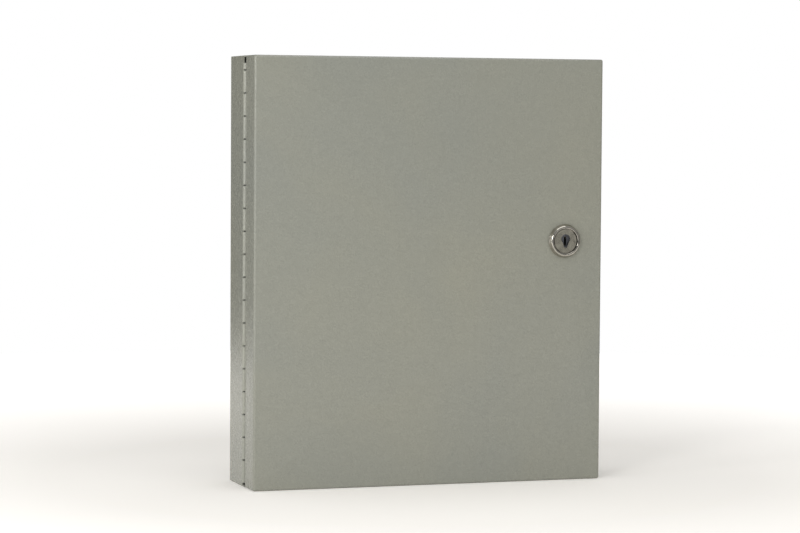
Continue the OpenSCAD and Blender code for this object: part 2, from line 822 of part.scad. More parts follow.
module earth_lead() color([0.2, 0.55, 0.2]) {
    lead([[earth_x, sheet_t + 5, earth_z - 10], [earth_x, sheet_t + 5, earth_z - 17],
        [earth_x - 4, 8, -146.5], [118, 11, -145], [mains_x + mains_pitch + 5, 13, -145],
        [mains_x + mains_pitch, 12.9, -148.5], [mains_x + mains_pitch, 12.9, mains_z + 9]], 1);
}

back_box();
hinge_box_leaf();
hinge_pin();
weld_studs();
hex_nuts();
board_standoffs();
main_board();
board_screws();
field_terminals();
terminal_screws();
processor();
logic_chips();
crystal();
relays();
capacitor_cans();
resistors();
diodes();
pin_headers();
heat_sink();
power_transistors();
transistor_screws();
fuse_clips();
fuse_tubes();
fuse_caps();
alarm_lamps();
trouble_lamps();
power_lamp();
sounder();
switch_bases();
lead_sockets();
transformer_core();
transformer_coil();
transformer_bracket();
primary_leads();
secondary_leads();
mains_terminal();
mains_screws();
mains_cover();
earth_ring();
earth_lead();
battery_cases();
battery_lids();
battery_tabs();
battery_connectors();
battery_lead_red();
battery_lead_black();
battery_jumper();
door();
hinge_door_leaf();
wiring_sheet();
lock_housing();
lock_washer();
lock_nut();
lock_plug();
lock_wafers();
lock_cam();
cam_screw();
silence_button();
acknowledge_button();
reset_button();
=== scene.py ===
"""Looks of a fire alarm control panel: folded steel cabinet, piano hinge, cam lock and the works inside.

Shells are worked out in millimetres and put into Blender meshes in metres. The panel's back lies on Y = 0,
its door faces -Y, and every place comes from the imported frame.
"""

from __future__ import annotations

import json
import logging
import math
from dataclasses import dataclass
from enum import Enum
from typing import Callable, Iterable, Sequence

import bmesh
import bpy
import numpy as np
from mathutils import Matrix, Vector

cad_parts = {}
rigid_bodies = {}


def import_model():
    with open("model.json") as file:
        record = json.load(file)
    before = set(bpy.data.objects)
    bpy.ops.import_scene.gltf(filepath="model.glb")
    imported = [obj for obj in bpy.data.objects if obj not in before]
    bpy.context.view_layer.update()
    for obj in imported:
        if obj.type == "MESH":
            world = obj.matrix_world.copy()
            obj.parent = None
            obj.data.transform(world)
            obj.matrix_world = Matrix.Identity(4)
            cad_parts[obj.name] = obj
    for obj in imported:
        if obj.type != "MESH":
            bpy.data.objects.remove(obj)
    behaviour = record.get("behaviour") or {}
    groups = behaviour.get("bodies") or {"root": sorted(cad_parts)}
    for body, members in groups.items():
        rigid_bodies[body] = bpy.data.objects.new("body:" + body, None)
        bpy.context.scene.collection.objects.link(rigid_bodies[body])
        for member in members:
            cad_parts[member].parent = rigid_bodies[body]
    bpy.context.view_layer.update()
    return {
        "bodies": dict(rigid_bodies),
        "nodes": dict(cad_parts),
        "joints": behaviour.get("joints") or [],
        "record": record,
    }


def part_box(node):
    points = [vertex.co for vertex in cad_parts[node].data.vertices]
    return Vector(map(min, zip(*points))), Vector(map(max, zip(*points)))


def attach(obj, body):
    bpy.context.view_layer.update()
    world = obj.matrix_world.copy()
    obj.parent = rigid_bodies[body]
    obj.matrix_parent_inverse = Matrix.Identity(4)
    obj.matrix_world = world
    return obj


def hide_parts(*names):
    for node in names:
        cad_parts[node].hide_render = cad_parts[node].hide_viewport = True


Array = np.ndarray
LOG = logging.getLogger("control_panel")
METRE = 1000.0


class Axis(Enum):
    """The axis that a shell is turned about."""

    X = 0
    Y = 1
    Z = 2


@dataclass
class Shell:
    """One or more closed skins, in millimetres.

    Attributes:
        points: Corner places, one row each.
        corners: Point numbers of all the faces, one face after another.
        counts: How many corners each face has.
        finish: Which of the piece's finishes each face wears.
    """

    points: Array
    corners: Array
    counts: Array
    finish: Array

    def moved(self, x: float = 0.0, y: float = 0.0, z: float = 0.0) -> Shell:
        """The same skins, shifted."""
        return Shell(self.points + np.array([x, y, z]), self.corners, self.counts, self.finish)

    def turned(self, axis: Axis, degrees: float) -> Shell:
        """The skins turned about an axis through the origin.

        The other two coordinates (a, b) become (a cos t - b sin t, a sin t + b cos t).

        Args:
            axis: The axis to turn about.
            degrees: The angle, anticlockwise seen from the axis's far end.

        Returns:
            The turned skins.
        """
        first, second = (axis.value + 1) % 3, (axis.value + 2) % 3
        angle = math.radians(degrees)
        points = self.points.copy()
        points[:, first] = self.points[:, first] * math.cos(angle) - self.points[:, second] * math.sin(angle)
        points[:, second] = self.points[:, first] * math.sin(angle) + self.points[:, second] * math.cos(angle)
        return Shell(points, self.corners, self.counts, self.finish)

    def facing(self, x: float, z: float, u: float) -> Shell:
        """Stands the skins off the wall: local X right, Y up, Z away from the wall.

        Args:
            x: Where the local origin goes, to the right.
            z: Where it goes, upwards.
            u: Its distance off the wall.

        Returns:
            The placed skins.
        """
        return self.turned(Axis.X, 90).moved(x, -u, z)

    def repeated(self, places: Array) -> Shell:
        """Copies the skins to each place.

        Args:
            places: One row of shifts for each copy.

        Returns:
            All the copies as one shell.
        """
        places = np.asarray(places, float).reshape(-1, 3)
        copies = len(places)
        points = (self.points[None] + places[:, None]).reshape(-1, 3)
        lift = np.arange(copies)[:, None] * len(self.points)
        corners = (self.corners[None] + lift).ravel()
        return Shell(points, corners, np.tile(self.counts, copies), np.tile(self.finish, copies))

    def rolled(self) -> Shell:
        """The same skins with local X laid along Y, Y along Z and Z along X."""
        return Shell(self.points[:, [2, 0, 1]], self.corners, self.counts, self.finish)

    def wearing(self, number: int) -> Shell:
        """The same skins, all in one of the piece's finishes."""
        return Shell(self.points, self.corners, self.counts, np.full(len(self.counts), number))


def joined(shells: Iterable[Shell]) -> Shell:
    """Puts shells together as one, each keeping its own points.

    Args:
        shells: The shells.

    Returns:
        One shell with the faces of all of them.
    """
    shells = list(shells)
    lifts = np.cumsum([0] + [len(s.points) for s in shells[:-1]])
    return Shell(
        np.concatenate([s.points for s in shells]),
        np.concatenate([s.corners + lift for s, lift in zip(shells, lifts)]),
        np.concatenate([s.counts for s in shells]),
        np.concatenate([s.finish for s in shells]),
    )


def loft(loops: Array, closed: bool = False, finish: int | Sequence | Array = 0) -> Shell:
    """Skins a stack of loops: quads join each loop to the next, and a flat face closes either end.

    The skin's volume is the sum of the tetrahedra between the origin and its triangles. If that comes out
    negative, every face is turned over, so that faces point outwards whichever way the loops run.

    Args:
        loops: Points as (loop, point on the loop, 3).
        closed: Joins the last loop to the first, as on a tyre, with no end faces.
        finish: One finish number, one for each band of quads, or one for each quad.

    Returns:
        The closed skin.
    """
    loops = np.asarray(loops, float)
    index = np.arange(loops.shape[0] * loops.shape[1]).reshape(loops.shape[:2])
    near, far = (index, np.roll(index, -1, 0)) if closed else (index[:-1], index[1:])
    quads = np.stack([near, np.roll(near, -1, 1), np.roll(far, -1, 1), far], axis=2).reshape(-1, 4)
    worn = np.asarray(finish, int)
    worn = np.broadcast_to(worn[:, None] if worn.ndim == 1 else worn, near.shape)
    points = loops.reshape(-1, 3)
    ends = [] if closed else [index[0][::-1], index[-1]]
    corner = points[quads]
    volume = np.einsum(
        "ij,ij->", corner[:, 0], np.cross(corner[:, 1], corner[:, 2]) + np.cross(corner[:, 2], corner[:, 3])
    )
    for end in ends:
        spokes = points[end]
        volume += np.einsum("j,ij->", spokes[0], np.cross(spokes[1:-1], spokes[2:]))
    if volume < 0:
        quads, ends = quads[:, ::-1], [end[::-1] for end in ends]
    corners = np.concatenate([quads.ravel(), *ends])
    counts = np.concatenate([np.full(len(quads), 4), np.full(len(ends), loops.shape[1])]).astype(int)
    return Shell(points, corners, counts, np.concatenate([worn.ravel(), worn[[0, -1], 0][: len(ends)]]))


def circle(radius: float, sides: int = 48) -> Array:
    """Points of a circle, anticlockwise: (r cos t, r sin t)."""
    angle = 2 * np.pi * np.arange(sides) / sides
    return radius * np.stack([np.cos(angle), np.sin(angle)], axis=1)


def rounded(width: float, height: float, radius: float, per_corner: int = 4, per_side: int = 0) -> Array:
    """Outline of a rectangle with round corners, anticlockwise from the right side's top.

    Each corner is a quarter circle about a centre that lies one radius in from both sides; extra points
    divide the straight sides evenly.

    Args:
        width: Full width.
        height: Full height.
        radius: Corner radius.
        per_corner: Points on each corner.
        per_side: Extra points between two corners.

    Returns:
        The outline's points, one row each.
    """
    centre = np.array([width / 2 - radius, height / 2 - radius])
    signs = np.array([[1, 1], [-1, 1], [-1, -1], [1, -1]])
    angle = np.pi / 2 * (np.arange(4)[:, None] + np.linspace(0, 1, per_corner)[None])
    arcs = signs[:, None] * centre + radius * np.stack([np.cos(angle), np.sin(angle)], axis=2)
    share = (np.arange(per_side) + 1)[None, :, None] / (per_side + 1)
    sides = arcs[:, -1:] * (1 - share) + np.roll(arcs, -1, 0)[:, :1] * share
    return np.concatenate([arcs, sides], axis=1).reshape(-1, 2)


def stack(outlines: Sequence[Array], heights: Sequence[float]) -> Array:
    """Lays one outline at each height, as the loops of a loft.

    Args:
        outlines: The outlines, all with the same number of points.
        heights: Height of each.

    Returns:
        The loops, one under another.
    """
    flat = np.stack(outlines)
    lifts = np.broadcast_to(np.asarray(heights, float)[:, None, None], (*flat.shape[:2], 1))
    return np.concatenate([flat, lifts], axis=2)


def block(
    width: float, height: float, depth: float, edge: float = 0.3, corner: float = 0.4, per_corner: int = 3
) -> Shell:
    """Block that stands on Z = 0 with round upright corners and eased end edges.

    Args:
        width: Size along X.
        height: Size along Y.
        depth: Size along Z.
        edge: How far the end edges are eased.
        corner: Radius of the upright corners.
        per_corner: Points on each corner.

    Returns:
        The block.
    """
    full = rounded(width, height, corner, per_corner)
    end = rounded(width - 2 * edge, height - 2 * edge, max(corner - edge, 0.05), per_corner)
    return loft(stack([end, full, full, end], [0, edge, depth - edge, depth]))


def lathe(
    profile: Sequence | Array, sides: int = 48, closed: bool = False, finish: int | Sequence | Array = 0
) -> Shell:
    """Turns a profile about Z: each (r, z) becomes the circle (r cos t, r sin t, z).

    Args:
        profile: Rows of radius and height.
        sides: Points on each circle.
        closed: Joins the profile's end to its start, as on a ring.
        finish: One finish number, one for each band, or one for each quad.

    Returns:
        The turned skin.
    """
    profile = np.asarray(profile, float)
    unit = circle(1.0, sides)
    loops = np.concatenate(
        [profile[:, None, :1] * unit[None], np.broadcast_to(profile[:, None, 1:], (len(profile), sides, 1))],
        axis=2,
    )
    return loft(loops, closed, finish)


def arc(centre: tuple[float, float], radius: float, start: float, end: float, steps: int) -> Array:
    """Points of an arc in a profile, from one angle to another in degrees."""
    angle = np.radians(np.linspace(start, end, steps))
    return np.asarray(centre) + radius * np.stack([np.cos(angle), np.sin(angle)], axis=1)


def tube(route: Array, radius: float | Array, sides: int = 12, finish: int | Sequence | Array = 0) -> Shell:
    """Sweeps a circle along a route.

    The circle stands across the route's direction d on the unit vectors a = across(Y) and b = d x a, where
    across(Y) is the wall's normal with its share along d taken away. No route runs straight out of the wall.

    Args:
        route: Points of the centre line, one row each.
        radius: Radius, the same all along or one for each point.
        sides: Points on each circle.
        finish: One finish number, one for each band, or one for each quad.

    Returns:
        The tube, closed at both ends.
    """
    route = np.asarray(route, float)
    along = np.gradient(route, axis=0)
    along /= np.linalg.norm(along, axis=1, keepdims=True)
    out = np.array([0.0, 1.0, 0.0])
    a = out - (along @ out)[:, None] * along
    a /= np.linalg.norm(a, axis=1, keepdims=True)
    b = np.cross(along, a)
    unit = circle(1.0, sides)
    reach = np.broadcast_to(radius, len(route))[:, None, None]
    loops = route[:, None] + reach * (unit[None, :, :1] * a[:, None] + unit[None, :, 1:] * b[:, None])
    return loft(loops, finish=finish)


def smooth_route(points: Sequence | Array, steps: int = 8) -> Array:
    """Runs a smooth curve through points, by the cubic whose slope at a point is half the step past it.

    Args:
        points: The points, one row each.
        steps: Pieces between two points.

    Returns:
        The curve's points.
    """
    p = np.asarray(points, float)
    p = np.concatenate([2 * p[:1] - p[1:2], p, 2 * p[-1:] - p[-2:-1]])
    a, b, c, d = (p[i : len(p) - 3 + i, None] for i in range(4))
    s = (np.arange(steps) / steps)[None, :, None]
    curve = 2 * b + (c - a) * s + (2 * a - 5 * b + 4 * c - d) * s**2 + (3 * b - a - 3 * c + d) * s**3
    return np.concatenate([curve.reshape(-1, 3) / 2, p[-2:-1]])


def ribbon(path: Sequence | Array, width: float, height: float, ease: float = 0.0) -> Shell:
    """Strip that stands on Z = 0 along a path of straight stretches, mitred where it turns.

    At each corner the strip's edge lies on the mean of its two stretches' normals, lengthened by one over the
    cosine of half the turn, so that the strip keeps its width.

    Args:
        path: Points in the plane, one row each.
        width: Width of the strip, across the path.
        height: Height of the strip.
        ease: How far its four long edges are eased.

    Returns:
        The strip.
    """
    path = np.asarray(path, float)
    step = np.diff(path, axis=0)
    step /= np.linalg.norm(step, axis=1, keepdims=True)
    side = np.stack([-step[:, 1], step[:, 0]], axis=1)
    before, after = np.concatenate([side[:1], side]), np.concatenate([side, side[-1:]])
    mean = before + after
    mean /= np.einsum("ij,ij->i", mean, before)[:, None]
    section = rounded(width, height, ease, 2) if ease else rounded(width, height, 0, 1)
    flat = path[:, None] + section[None, :, :1] * mean[:, None]
    rise = np.broadcast_to(section[None, :, 1:] + height / 2, (*flat.shape[:2], 1))
    return loft(np.concatenate([flat, rise], axis=2))


@dataclass(frozen=True)
class Box:
    """Where a solid of the frame lies, in millimetres.

    Attributes:
        low: Its lowest corner.
        high: Its highest corner.
    """

    low: Array
    high: Array

    @property
    def x(self) -> float:
        """Middle, to the right."""
        return float(self.low[0] + self.high[0]) / 2

    @property
    def z(self) -> float:
        """Middle, upwards."""
        return float(self.low[2] + self.high[2]) / 2

    @property
    def u(self) -> float:
        """Distance of its near side off the wall."""
        return -float(self.high[1])

    @property
    def width(self) -> float:
        """Size along X."""
        return float(self.high[0] - self.low[0])

    @property
    def depth(self) -> float:
        """Size off the wall."""
        return float(self.high[1] - self.low[1])

    @property
    def height(self) -> float:
        """Size along Z."""
        return float(self.high[2] - self.low[2])

    @property
    def upright(self) -> bool:
        """Whether it is taller than wide."""
        return self.height > self.width * 1.05

    def set(self, shell: Shell) -> Shell:
        """Stands a shell drawn about its own origin on this box's wall side, turned if the box is upright."""
        return (shell.turned(Axis.Z, 90) if self.upright else shell).facing(self.x, self.z, self.u)


class Workshop:
    """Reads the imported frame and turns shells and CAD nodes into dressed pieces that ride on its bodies."""

    def __init__(self, frame: dict) -> None:
        """Keeps the frame and which material slot each node has.
        """
        self.nodes: dict = frame["nodes"]
        self.slots = {part["node"]: part["material_slot"] for part in frame["record"]["subparts"]}
        self.body = {n: body for body, names in frame["record"]["behaviour"]["bodies"].items() for n in names}

    def box(self, node: str) -> Box:
        """The whole node's box."""
        low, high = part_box(node)
        return Box(np.array(low) * METRE, np.array(high) * METRE)

    def solids(self, node: str) -> list[Box]:
        """Boxes of a node's separate solids.

        Points that coincide are made one, and each point takes the lowest number that any of its triangles
        holds, over and over, until every solid holds one number.

        Args:
            node: The node's name.

        Returns:
            One box for each solid, sorted from the top left.
        """
        mesh = self.nodes[node].data
        place = np.empty(len(mesh.vertices) * 3)
        mesh.vertices.foreach_get("co", place)
        corner = np.empty(len(mesh.loops), int)
        mesh.loops.foreach_get("vertex_index", corner)
        points, index = np.unique(np.round(place.reshape(-1, 3) * METRE, 2), axis=0, return_inverse=True)
        faces = index.ravel()[corner].reshape(-1, 3)
        label, before = np.arange(len(points)), None
        while before is None or (label != before).any():
            before = label.copy()
            lowest = label[faces].min(axis=1)
            np.minimum.at(label, faces.ravel(), np.repeat(lowest, 3))
            label = label[label]
        boxes = [Box(points[label == one].min(0), points[label == one].max(0)) for one in np.unique(label)]
        return sorted(boxes, key=lambda box: (-round(box.z), box.x))

    def piece(
        self,
        name: str,
        shell: Shell,
        finishes: Sequence,
        stands_for: Sequence[str] = (),
        body: str = "cabinet",
        slot: str | None = None,
        smooth: float = 35.0,
    ) -> bpy.types.Object:
        """Puts a shell into a mesh and makes it a piece of the panel.

        Args:
            name: The piece's name.
            shell: Its skins, in millimetres.
            finishes: Its finishes, in the order that the shell numbers them.
            stands_for: CAD nodes that it replaces; it takes its body from the first, and looks up the first's
                slot without using it.
            body: The body that it rides on, if it replaces nothing.
            slot: The record's material slot, if it replaces nothing; not used.
            smooth: Faces that meet at less than this angle, in degrees, shade as one.

        Returns:
            The piece's object.
        """
        mesh = bpy.data.meshes.new(name)
        mesh.vertices.add(len(shell.points))
        mesh.vertices.foreach_set("co", (shell.points / METRE).astype(np.float32).ravel())
        mesh.loops.add(len(shell.corners))
        mesh.loops.foreach_set("vertex_index", shell.corners.astype(np.int32))
        mesh.polygons.add(len(shell.counts))
        starts = np.concatenate([[0], np.cumsum(shell.counts)[:-1]]).astype(np.int32)
        mesh.polygons.foreach_set("loop_start", starts)
        mesh.polygons.foreach_set("material_index", shell.finish.astype(np.int32))
        mesh.update(calc_edges=True)
        piece = bpy.data.objects.new(name, mesh)
        bpy.context.scene.collection.objects.link(piece)
        for finish in finishes:
            mesh.materials.append(finish.material())
        mesh.shade_smooth()
        mesh.set_sharp_from_angle(angle=math.radians(smooth))
        if stands_for:
            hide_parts(*stands_for)
            body, slot = self.body[stands_for[0]], self.slots[stands_for[0]]
        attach(piece, body)
        LOG.info("%s: %d faces on %s", name, len(shell.counts), body)
        return piece

    def eased(
        self,
        node: str,
        finish: Finish,
        edge: float = 0.2,
        segments: int = 2,
        other: Finish | None = None,
        where: Callable[[Array], Array] | None = None,
    ) -> bpy.types.Object:
        """Replaces a CAD node with a copy whose sharp edges are rounded.

        The copy's coinciding points are merged and its flat faces made whole before the edges are bevelled.

        Args:
            node: The node's name.
            finish: What it wears.
            edge: Radius of the rounded edges, in millimetres.
            segments: Faces across a rounded edge.
            other: A second finish for some of its faces.
            where: Tells from the faces' middles, in millimetres, which of them wear it.

        Returns:
            The piece's object.
        """
        mesh = self.nodes[node].data.copy()
        mesh.name = f"{node}_eased"
        work = bmesh.new()
        work.from_mesh(mesh)
        bmesh.ops.remove_doubles(work, verts=work.verts, dist=2e-6)
        bmesh.ops.dissolve_limit(
            work, angle_limit=math.radians(0.6), verts=work.verts, edges=work.edges, delimit={"MATERIAL"}
        )
        work.to_mesh(mesh)
        work.free()
        mesh.materials.clear()
        mesh.materials.append(finish.material())
        if other:
            mesh.materials.append(other.material())
            middle = np.empty(len(mesh.polygons) * 3)
            mesh.polygons.foreach_get("center", middle)
            chosen = where(middle.reshape(-1, 3) * METRE)
            mesh.polygons.foreach_set("material_index", chosen.astype(np.int32))
        mesh.shade_smooth()
        mesh.set_sharp_from_angle(angle=math.radians(30))
        piece = bpy.data.objects.new(mesh.name, mesh)
        bpy.context.scene.collection.objects.link(piece)
        bevel = piece.modifiers.new("round_edges", "BEVEL")
        bevel.width = edge / METRE
        bevel.segments = segments
        bevel.limit_method = "ANGLE"
        bevel.angle_limit = math.radians(40)
        bevel.use_clamp_overlap = True
        bevel.harden_normals = True
        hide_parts(node)
        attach(piece, self.body[node])
        LOG.info("%s: rounded copy on %s", piece.name, self.body[node])
        return piece

    def dress(self, node: str, finish: Finish) -> None:
        """Gives a CAD node that is shown as it is its finish.

        Args:
            node: The CAD node.
            finish: Its finish.
        """
        mesh = self.nodes[node].data
        mesh.materials.clear()
        mesh.materials.append(finish.material())
        LOG.info("%s: dressed", node)


class Wiring:
    """A node tree under construction, with short calls for its nodes and links."""

    def __init__(self, tree: bpy.types.NodeTree) -> None:
        """Empties the tree that it builds."""
        self.tree = tree
        tree.nodes.clear()

    def node(self, kind: str, **settings: object) -> bpy.types.Node:
        """Adds a node and sets its own properties.

        Args:
            kind: The node's type.
            settings: Its own properties, by name.

        Returns:
            The node.
        """
        made = self.tree.nodes.new(kind)
        for name, value in settings.items():
            setattr(made, name, value)
        return made

    def link(self, source: bpy.types.NodeSocket, target: bpy.types.NodeSocket) -> None:
        """Joins an output to an input."""
        self.tree.links.new(source, target)

    def fill(self, target: bpy.types.NodeSocket, value: object) -> None:
        """Links an input if the value is an output, and else sets it.

        Args:
            target: The input.
            value: An output, or a value to set.
        """
        if isinstance(value, bpy.types.NodeSocket):
            self.link(value, target)
        else:
            target.default_value = value

    def spread(
        self, source: bpy.types.NodeSocket, low: float, high: float, start: float = 0.3, end: float = 0.7
    ) -> bpy.types.NodeSocket:
        """Stretches a value's range from start to end over low to high.

        Args:
            source: The value.
            low: What it gives at the start.
            high: What it gives at the end.
            start: Start of the range that is stretched.
            end: Its end.

        Returns:
            The stretched value.
        """
        made = self.node("ShaderNodeMapRange")
        for name, value in {"From Min": start, "From Max": end, "To Min": low, "To Max": high}.items():
            made.inputs[name].default_value = value
        self.link(source, made.inputs["Value"])
        return made.outputs["Result"]


class Recipe(Wiring):
    """A material under construction, with short calls for the nodes that the finishes share."""

    def __init__(self, name: str) -> None:
        """Starts a material that holds one shader.

        Args:
            name: The material's name.
        """
        self.material = bpy.data.materials.new(name)
        self.material.use_nodes = True
        super().__init__(self.material.node_tree)
        self.shader = self.node("ShaderNodeBsdfPrincipled")
        self.link(self.shader.outputs["BSDF"], self.node("ShaderNodeOutputMaterial").inputs["Surface"])
        self.place = self.node("ShaderNodeTexCoord").outputs["Object"]

    def constants(self, **values: object) -> None:
        """Sets the shader's own sockets, with underscores for the spaces in their names."""
        for name, value in values.items():
            self.shader.inputs[name.replace("_", " ")].default_value = value

    def mapped(
        self, scale: Sequence[float] = (1, 1, 1), turn: Sequence[float] = (0, 0, 0)
    ) -> bpy.types.NodeSocket:
        """The place on the piece, stretched and turned.

        Args:
            scale: How much each axis is multiplied.
            turn: Turn about each axis, in degrees.

        Returns:
            The changed place.
        """
        mapping = self.node("ShaderNodeMapping")
        mapping.inputs["Scale"].default_value = scale
        mapping.inputs["Rotation"].default_value = [math.radians(angle) for angle in turn]
        self.link(self.place, mapping.inputs["Vector"])
        return mapping.outputs["Vector"]

    def noise(
        self, grain: float, detail: float = 2.0, place: bpy.types.NodeSocket | None = None, warp: float = 0.0
    ) -> bpy.types.NodeSocket:
        """Cloudy noise from 0 to 1.

        Args:
            grain: Size of its largest lumps, in millimetres.
            detail: How many finer layers it has.
            place: Where it is read, or None for the place on the piece.
            warp: How much it swirls.

        Returns:
            The noise's value.
        """
        made = self.node("ShaderNodeTexNoise")
        made.inputs["Scale"].default_value = METRE / grain
        made.inputs["Detail"].default_value = detail
        made.inputs["Distortion"].default_value = warp
        self.link(place or self.place, made.inputs["Vector"])
        return made.outputs["Fac"]

    def waves(self, period: float, axis: Axis, wander: float = 0.0) -> bpy.types.NodeSocket:
        """Even bands across an axis, from 0 to 1.

        Args:
            period: From one band to the next, in millimetres.
            axis: The axis that crosses the bands.
            wander: How far the bands stray.

        Returns:
            The bands' value.
        """
        made = self.node(
            "ShaderNodeTexWave", wave_type="BANDS", bands_direction=axis.name, wave_profile="SIN"
        )
        # a wave's phase is 20 times the place, so a period of 2 pi / 20 has a scale of 1
        made.inputs["Scale"].default_value = METRE / period * 2 * math.pi / 20
        made.inputs["Distortion"].default_value = wander
        made.inputs["Detail"].default_value = 1.0
        self.link(self.place, made.inputs["Vector"])
        return made.outputs["Fac"]

    def cells(self, grain: float, place: bpy.types.NodeSocket | None = None) -> bpy.types.NodeSocket:
        """Distance to the nearest of scattered points, for flecks and crystals.

        Args:
            grain: Distance between the points, in millimetres.
            place: Where the pattern is read, or None for the place on the piece.

        Returns:
            The distance, from 0.
        """
        made = self.node("ShaderNodeTexVoronoi", feature="F1")
        made.inputs["Scale"].default_value = METRE / grain
        self.link(place or self.place, made.inputs["Vector"])
        return made.outputs["Distance"]

    def ramp(
        self, source: bpy.types.NodeSocket, stops: Sequence[tuple[float, Sequence[float]]]
    ) -> bpy.types.NodeSocket:
        """Turns a value into a colour.

        Args:
            source: The value.
            stops: Pairs of a position and its red, green and blue.

        Returns:
            The colour.
        """
        made = self.node("ShaderNodeValToRGB")
        elements = made.color_ramp.elements
        for index, (position, colour) in enumerate(stops):
            element = elements[index] if index < 2 else elements.new(position)
            element.position = position
            element.color = (*colour, 1.0)
        self.link(source, made.inputs["Fac"])
        return made.outputs["Color"]

    def sum(
        self, first: bpy.types.NodeSocket, second: bpy.types.NodeSocket, share: float
    ) -> bpy.types.NodeSocket:
        """The first value and a share of the second, added.

        Args:
            first: The first value.
            second: The second value.
            share: How much of the second is added.

        Returns:
            The sum.
        """
        made = self.node("ShaderNodeMath", operation="MULTIPLY_ADD")
        self.link(second, made.inputs[0])
        made.inputs[1].default_value = share
        self.link(first, made.inputs[2])
        return made.outputs[0]

    def blend(
        self, share: bpy.types.NodeSocket, first: object, second: object, mode: str = "MIX"
    ) -> bpy.types.NodeSocket:
        """Mixes two colours.

        Args:
            share: How much of the second.
            first: A colour, or an output that gives one.
            second: The same.
            mode: How they mix.

        Returns:
            The mixed colour.
        """
        made = self.node("ShaderNodeMix", data_type="RGBA", blend_type=mode)
        self.link(share, made.inputs["Factor"])
        for socket, value in ((made.inputs[6], first), (made.inputs[7], second)):
            self.fill(socket, value if isinstance(value, bpy.types.NodeSocket) else (*value, 1.0))
        return made.outputs[2]

    def colour(self, value: bpy.types.NodeSocket) -> None:
        """Links the shader's base colour."""
        self.link(value, self.shader.inputs["Base Color"])

    def roughness(self, value: bpy.types.NodeSocket) -> None:
        """Links the shader's roughness."""
        self.link(value, self.shader.inputs["Roughness"])

    def relief(self, height: bpy.types.NodeSocket, depth: float, strength: float = 1.0) -> None:
        """Raises the surface by a height value.

        Args:
            height: The height, from 0 to 1.
            depth: How far a height of 1 stands up, in millimetres.
            strength: Share of the effect.
        """
        made = self.node("ShaderNodeBump")
        made.inputs["Distance"].default_value = depth / METRE
        made.inputs["Strength"].default_value = strength
        self.link(height, made.inputs["Height"])
        self.link(made.outputs["Normal"], self.shader.inputs["Normal"])


def shade(tint: Sequence[float], factor: float) -> tuple[float, float, float]:
    """The tint made lighter or darker by a factor."""
    return tuple(min(channel * factor, 1.0) for channel in tint)


@dataclass(frozen=True)
class Finish:
    """A finish that makes its Blender material once.

    Attributes:
        name: The material's name.
        tint: Its colour, linear red, green and blue.
    """

    name: str
    tint: tuple[float, float, float]

    def material(self) -> bpy.types.Material:
        """The finish's material, made at its first use.

        Returns:
            The material.
        """
        made = bpy.data.materials.get(self.name)
        if made is None:
            recipe = Recipe(self.name)
            self.mix(recipe)
            made = recipe.material
            made.diffuse_color = (*self.tint, 1.0)
        return made

    def mix(self, recipe: Recipe) -> None:
        """Fills in the recipe."""
        raise NotImplementedError


@dataclass(frozen=True)
class PowderCoat(Finish):
    """Baked powder on steel: a fine orange peel, faint clouds of tone and the odd darker grain.

    Attributes:
        peel: Size of the orange peel's lumps, in millimetres.
        depth: Its depth, in millimetres.
        cloud: How far the tone strays either way.
    """

    peel: float = 1.6
    depth: float = 0.085
    cloud: float = 0.03

    def mix(self, recipe: Recipe) -> None:
        """Layers two noises as relief, and a wide and a fine one as tone.

        Args:
            recipe: The material's recipe.
        """
        cool = (self.tint[0] * 0.985, self.tint[1] * 1.0, self.tint[2] * 1.025)
        warm = (self.tint[0] * 1.012, self.tint[1] * 1.0, self.tint[2] * 0.965)
        wide = recipe.ramp(
            recipe.noise(160, 3, warp=0.4),
            [(0.32, shade(cool, 1 - self.cloud)), (0.68, shade(warm, 1 + self.cloud))],
        )
        fine = recipe.ramp(recipe.noise(0.9, 3), [(0.30, (0.90,) * 3), (0.62, (1.04,) * 3)])
        steady = recipe.noise(9, 4)
        toned = recipe.blend(recipe.spread(steady, 0.75, 1.0), wide, fine, "MULTIPLY")
        recipe.colour(toned)
        recipe.roughness(recipe.spread(recipe.sum(steady, recipe.noise(1.6, 2), 0.5), 0.22, 0.32, 0.45, 1.05))
        recipe.relief(
            recipe.sum(recipe.noise(self.peel, 2), recipe.noise(self.peel / 4, 2), 0.35), self.depth
        )
        recipe.constants(IOR=1.5, Specular_IOR_Level=0.5)


class Lay(Enum):
    """Which way a metal's brush or roll marks run."""

    NONE = (1.0, 1.0, 1.0)
    ALONG_X = (0.03, 1.0, 1.0)
    ALONG_Y = (1.0, 0.03, 1.0)
    ALONG_Z = (1.0, 1.0, 0.03)


@dataclass(frozen=True)
class Metal(Finish):
    """Bare or plated metal: tone in drifts, fine marks along the lay and specks of dulled plate.

    Attributes:
        gloss: The least roughness.
        dull: The most roughness.
        lay: Which way the marks run.
        mark: Width of the marks, in millimetres.
        depth: Depth of the marks, in millimetres.
        second: Colour of the drifts, or None for the tint made darker.
    """

    gloss: float = 0.25
    dull: float = 0.42
    lay: Lay = Lay.NONE
    mark: float = 0.25
    depth: float = 0.004
    second: tuple[float, float, float] | None = None

    def mix(self, recipe: Recipe) -> None:
        """Drives tone by drifts, and roughness and relief by stretched noise.

        Args:
            recipe: The material's recipe.
        """
        marks = recipe.noise(self.mark, 4, recipe.mapped(self.lay.value))
        drifts = recipe.noise(7, 4, warp=0.6)
        deep = self.second or shade(self.tint, 0.8)
        tone = recipe.ramp(recipe.sum(drifts, marks, 0.25), [(0.45, deep), (0.78, self.tint)])
        recipe.colour(tone)
        recipe.roughness(recipe.spread(recipe.sum(marks, drifts, 0.6), self.gloss, self.dull, 0.55, 1.05))
        recipe.relief(marks, self.depth)
        recipe.constants(Metallic=1.0)


